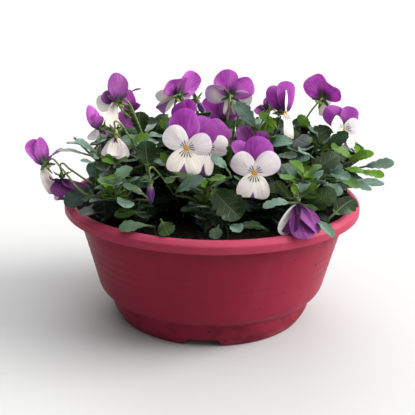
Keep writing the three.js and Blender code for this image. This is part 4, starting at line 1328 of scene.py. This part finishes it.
def shoot_stem(node):
    """A shoot's stem from its base in the frame to a tip under the dome of the plants."""
    base = base_of(node)
    outward = Vector((base.x, base.y, 0)).normalized()
    radius = math.hypot(base.x, base.y)
    share = radius / SHOOT_RING
    height = SHOOT_CENTRE_HEIGHT - (SHOOT_CENTRE_HEIGHT - SHOOT_EDGE_HEIGHT) * share**SHOOT_DOME_POWER
    near, far = FRONT_FADE
    front = min(1.0, max(0.0, (-base.y - near) / (far - near)))
    front = front * front * (3 - 2 * front)
    height *= 1 - front * (1 - FRONT_HEIGHT_SHARE)
    tip = base + outward * radius * (SHOOT_LEAN + SIDE_LEAN * outward.x**2) + UP * height
    middle = base.lerp(tip, 0.3)
    middle.z = base.z + 0.5 * height
    return smooth_path([base - UP * 3, base + UP * 0.12 * height, middle, tip], 5)


def level_step(azimuth):
    return Vector((math.cos(azimuth), math.sin(azimuth), 0))


def find_site(root, azimuth, share, size, space, dice):
    """A free place for a leaf near an azimuth: which way is out, which way the leaf leaves the stem, the foot
    and the tip of its blade, how steeply the blade rises, and its width."""
    for turn in TURNS_TRIED:
        outward = level_step(azimuth + turn)
        climb = math.radians(CLIMB + CLIMB_GAIN * share + dice.uniform(*CLIMB_SPREAD))
        leave = outward * math.cos(climb) + UP * math.sin(climb)
        foot = root + leave * PETIOLE_LENGTH * size
        slope = climb - math.radians(dice.uniform(*DROOPS))
        tip = foot + (outward * math.cos(slope) + UP * math.sin(slope)) * BLADE_LENGTH * size
        width = dice.uniform(*BLADE_WIDTHS) * size
        clears_rim = tip.z > OVER_RIM or math.hypot(tip.x, tip.y) < INSIDE_RIM
        inside = clears_rim and is_inside(tip, SHOOT_LEAF_BOX) and under_canopy(tip)
        if inside and space.is_free(foot, tip, width):
            return outward, leave, foot, tip, slope, width
    return None


def make_shoot(node, stem, materials, space):
    """A leafy shoot: its stem, leaves in a spiral with scales at their feet, and the youngest on its top."""
    dice = random.Random(node)
    build = Build()
    add_tube(build, stem, tapered(*SHOOT_TAPER, len(stem)), STALK_SIDES, (0, 0, 0.3, 0), STEM_SLOT)
    first = dice.uniform(0, ROUGH_TURN)
    for k in range(LEAVES_PER_SHOOT):
        share = (k + 0.5) / LEAVES_PER_SHOOT
        spot = (0.12 + 0.86 * share) * (len(stem) - 1)
        low = int(spot)
        root = stem[low].lerp(stem[min(low + 1, len(stem) - 1)], spot - low)
        size = (LOW_LEAF - LEAF_LOSS * share) * dice.uniform(*LEAF_SIZES)
        age = max(0.0, share - 0.5) * 2 * dice.uniform(0.3, 0.9)
        site = find_site(root, first + k * GOLDEN_ANGLE, share, size, space, dice)
        if not site:
            continue
        outward, leave, foot, tip, slope, width = site
        space.take(foot, tip, width)
        side = outward.cross(UP)
        face = (UP - outward * math.tan(max(0.0, slope)) + side * dice.uniform(-0.35, 0.35)).normalized()
        add_leaf(build, root, leave, foot, tip, face, width, age, "shoot", dice)
        for hand in (-1, 1):
            if dice.random() < SCALE_CHANCE and not space.hides_bloom(root + side * hand * 10 + UP * 6):
                add_scale(build, root, (outward * 0.5 + side * hand).normalized(), min(1, age + 0.25), dice)
    top = stem[-1]
    for k in range(TOP_LEAVES):
        outward = level_step(first + k * GOLDEN_ANGLE * 1.7)
        tip = top + outward * dice.uniform(4, 8) + UP * dice.uniform(5, 10)
        if under_canopy(tip) and not space.hides_bloom(tip):
            add_blade(build, top, tip, (UP * 0.4 - outward).normalized(), 4.5, 0.9, "unfolding", dice)
    build.made(f"leafy_{node}", materials, "leaf", [node])


# ---------------------------------------------------------------- camera, light and floor


def make_camera():
    data = bpy.data.cameras.new("camera")
    data.lens = LENS
    data.sensor_width = SENSOR
    camera = linked("camera", data)
    camera.location = EYE * MM
    camera.rotation_mode = "QUATERNION"
    camera.rotation_quaternion = facing(*EYE_FACING)
    bpy.context.scene.camera = camera


def make_light(name, place, energy, width, color):
    """A soft sun that shines from a place towards the middle of the scene."""
    data = bpy.data.lights.new(name, "SUN")
    data.energy = energy
    data.angle = math.radians(width)
    data.color = color
    lamp = linked(name, data)
    lamp.location = place
    lamp.rotation_euler = (-Vector(place)).to_track_quat("-Z", "Y").to_euler()


def make_stage():
    n = Nodes("studio_floor")
    color = n.mix(n.noise(n.place(), 3.0, 2.0), "b4b4b3", "b9b9b9")
    mesh = bpy.data.meshes.new("floor")
    corners = [(x * FLOOR_REACH, y * FLOOR_REACH, 0) for x, y in ((-1, -1), (1, -1), (1, 1), (-1, 1))]
    mesh.from_pydata(corners, [], [(0, 1, 2, 3)])
    mesh.materials.append(n.finish(n.principled(color, 0.9)))
    linked("floor", mesh)
    world = bpy.data.worlds.new("studio")
    world.use_nodes = True
    background = world.node_tree.nodes["Background"]
    background.inputs["Color"].default_value = (1, 1, 1, 1)
    background.inputs["Strength"].default_value = WORLD_STRENGTH
    bpy.context.scene.world = world
    bpy.context.scene.view_settings.view_transform = "Standard"


# ---------------------------------------------------------------- the scene

make_camera()
make_stage()
for light_name, light in LIGHTS.items():
    make_light(light_name, *light)

make_pot()
soil = soil_material()
make_soil(soil)
make_crumbs(soil)

petal_looks = [upper_petal_material(), side_petal_material(), lip_material(), throat_material()]
green_looks = [stalk_material(), sepal_material(), bud_material()]
leaf_looks = [leaf_material(), petiole_material()]

placed_blooms = [(make_bloom(name, pose, petal_looks, green_looks[:2]), 1) for name, pose in BLOOMS.items()]
placed_blooms += [(make_bud(name, pose, green_looks), 0.4) for name, pose in BUDS.items()]
leaf_space = Space(placed_blooms)
shoot_nodes = [f"shoot_{k + 1:02d}" for k in range(SHOOT_COUNT)]
shoot_stems = [shoot_stem(node) for node in shoot_nodes]
make_front_leaves(shoot_stems, leaf_looks, leaf_space)
for shoot_node, shoot in zip(shoot_nodes, shoot_stems):
    make_shoot(shoot_node, shoot, leaf_looks, leaf_space)
make_inner_leaves(shoot_stems, leaf_looks, leaf_space)
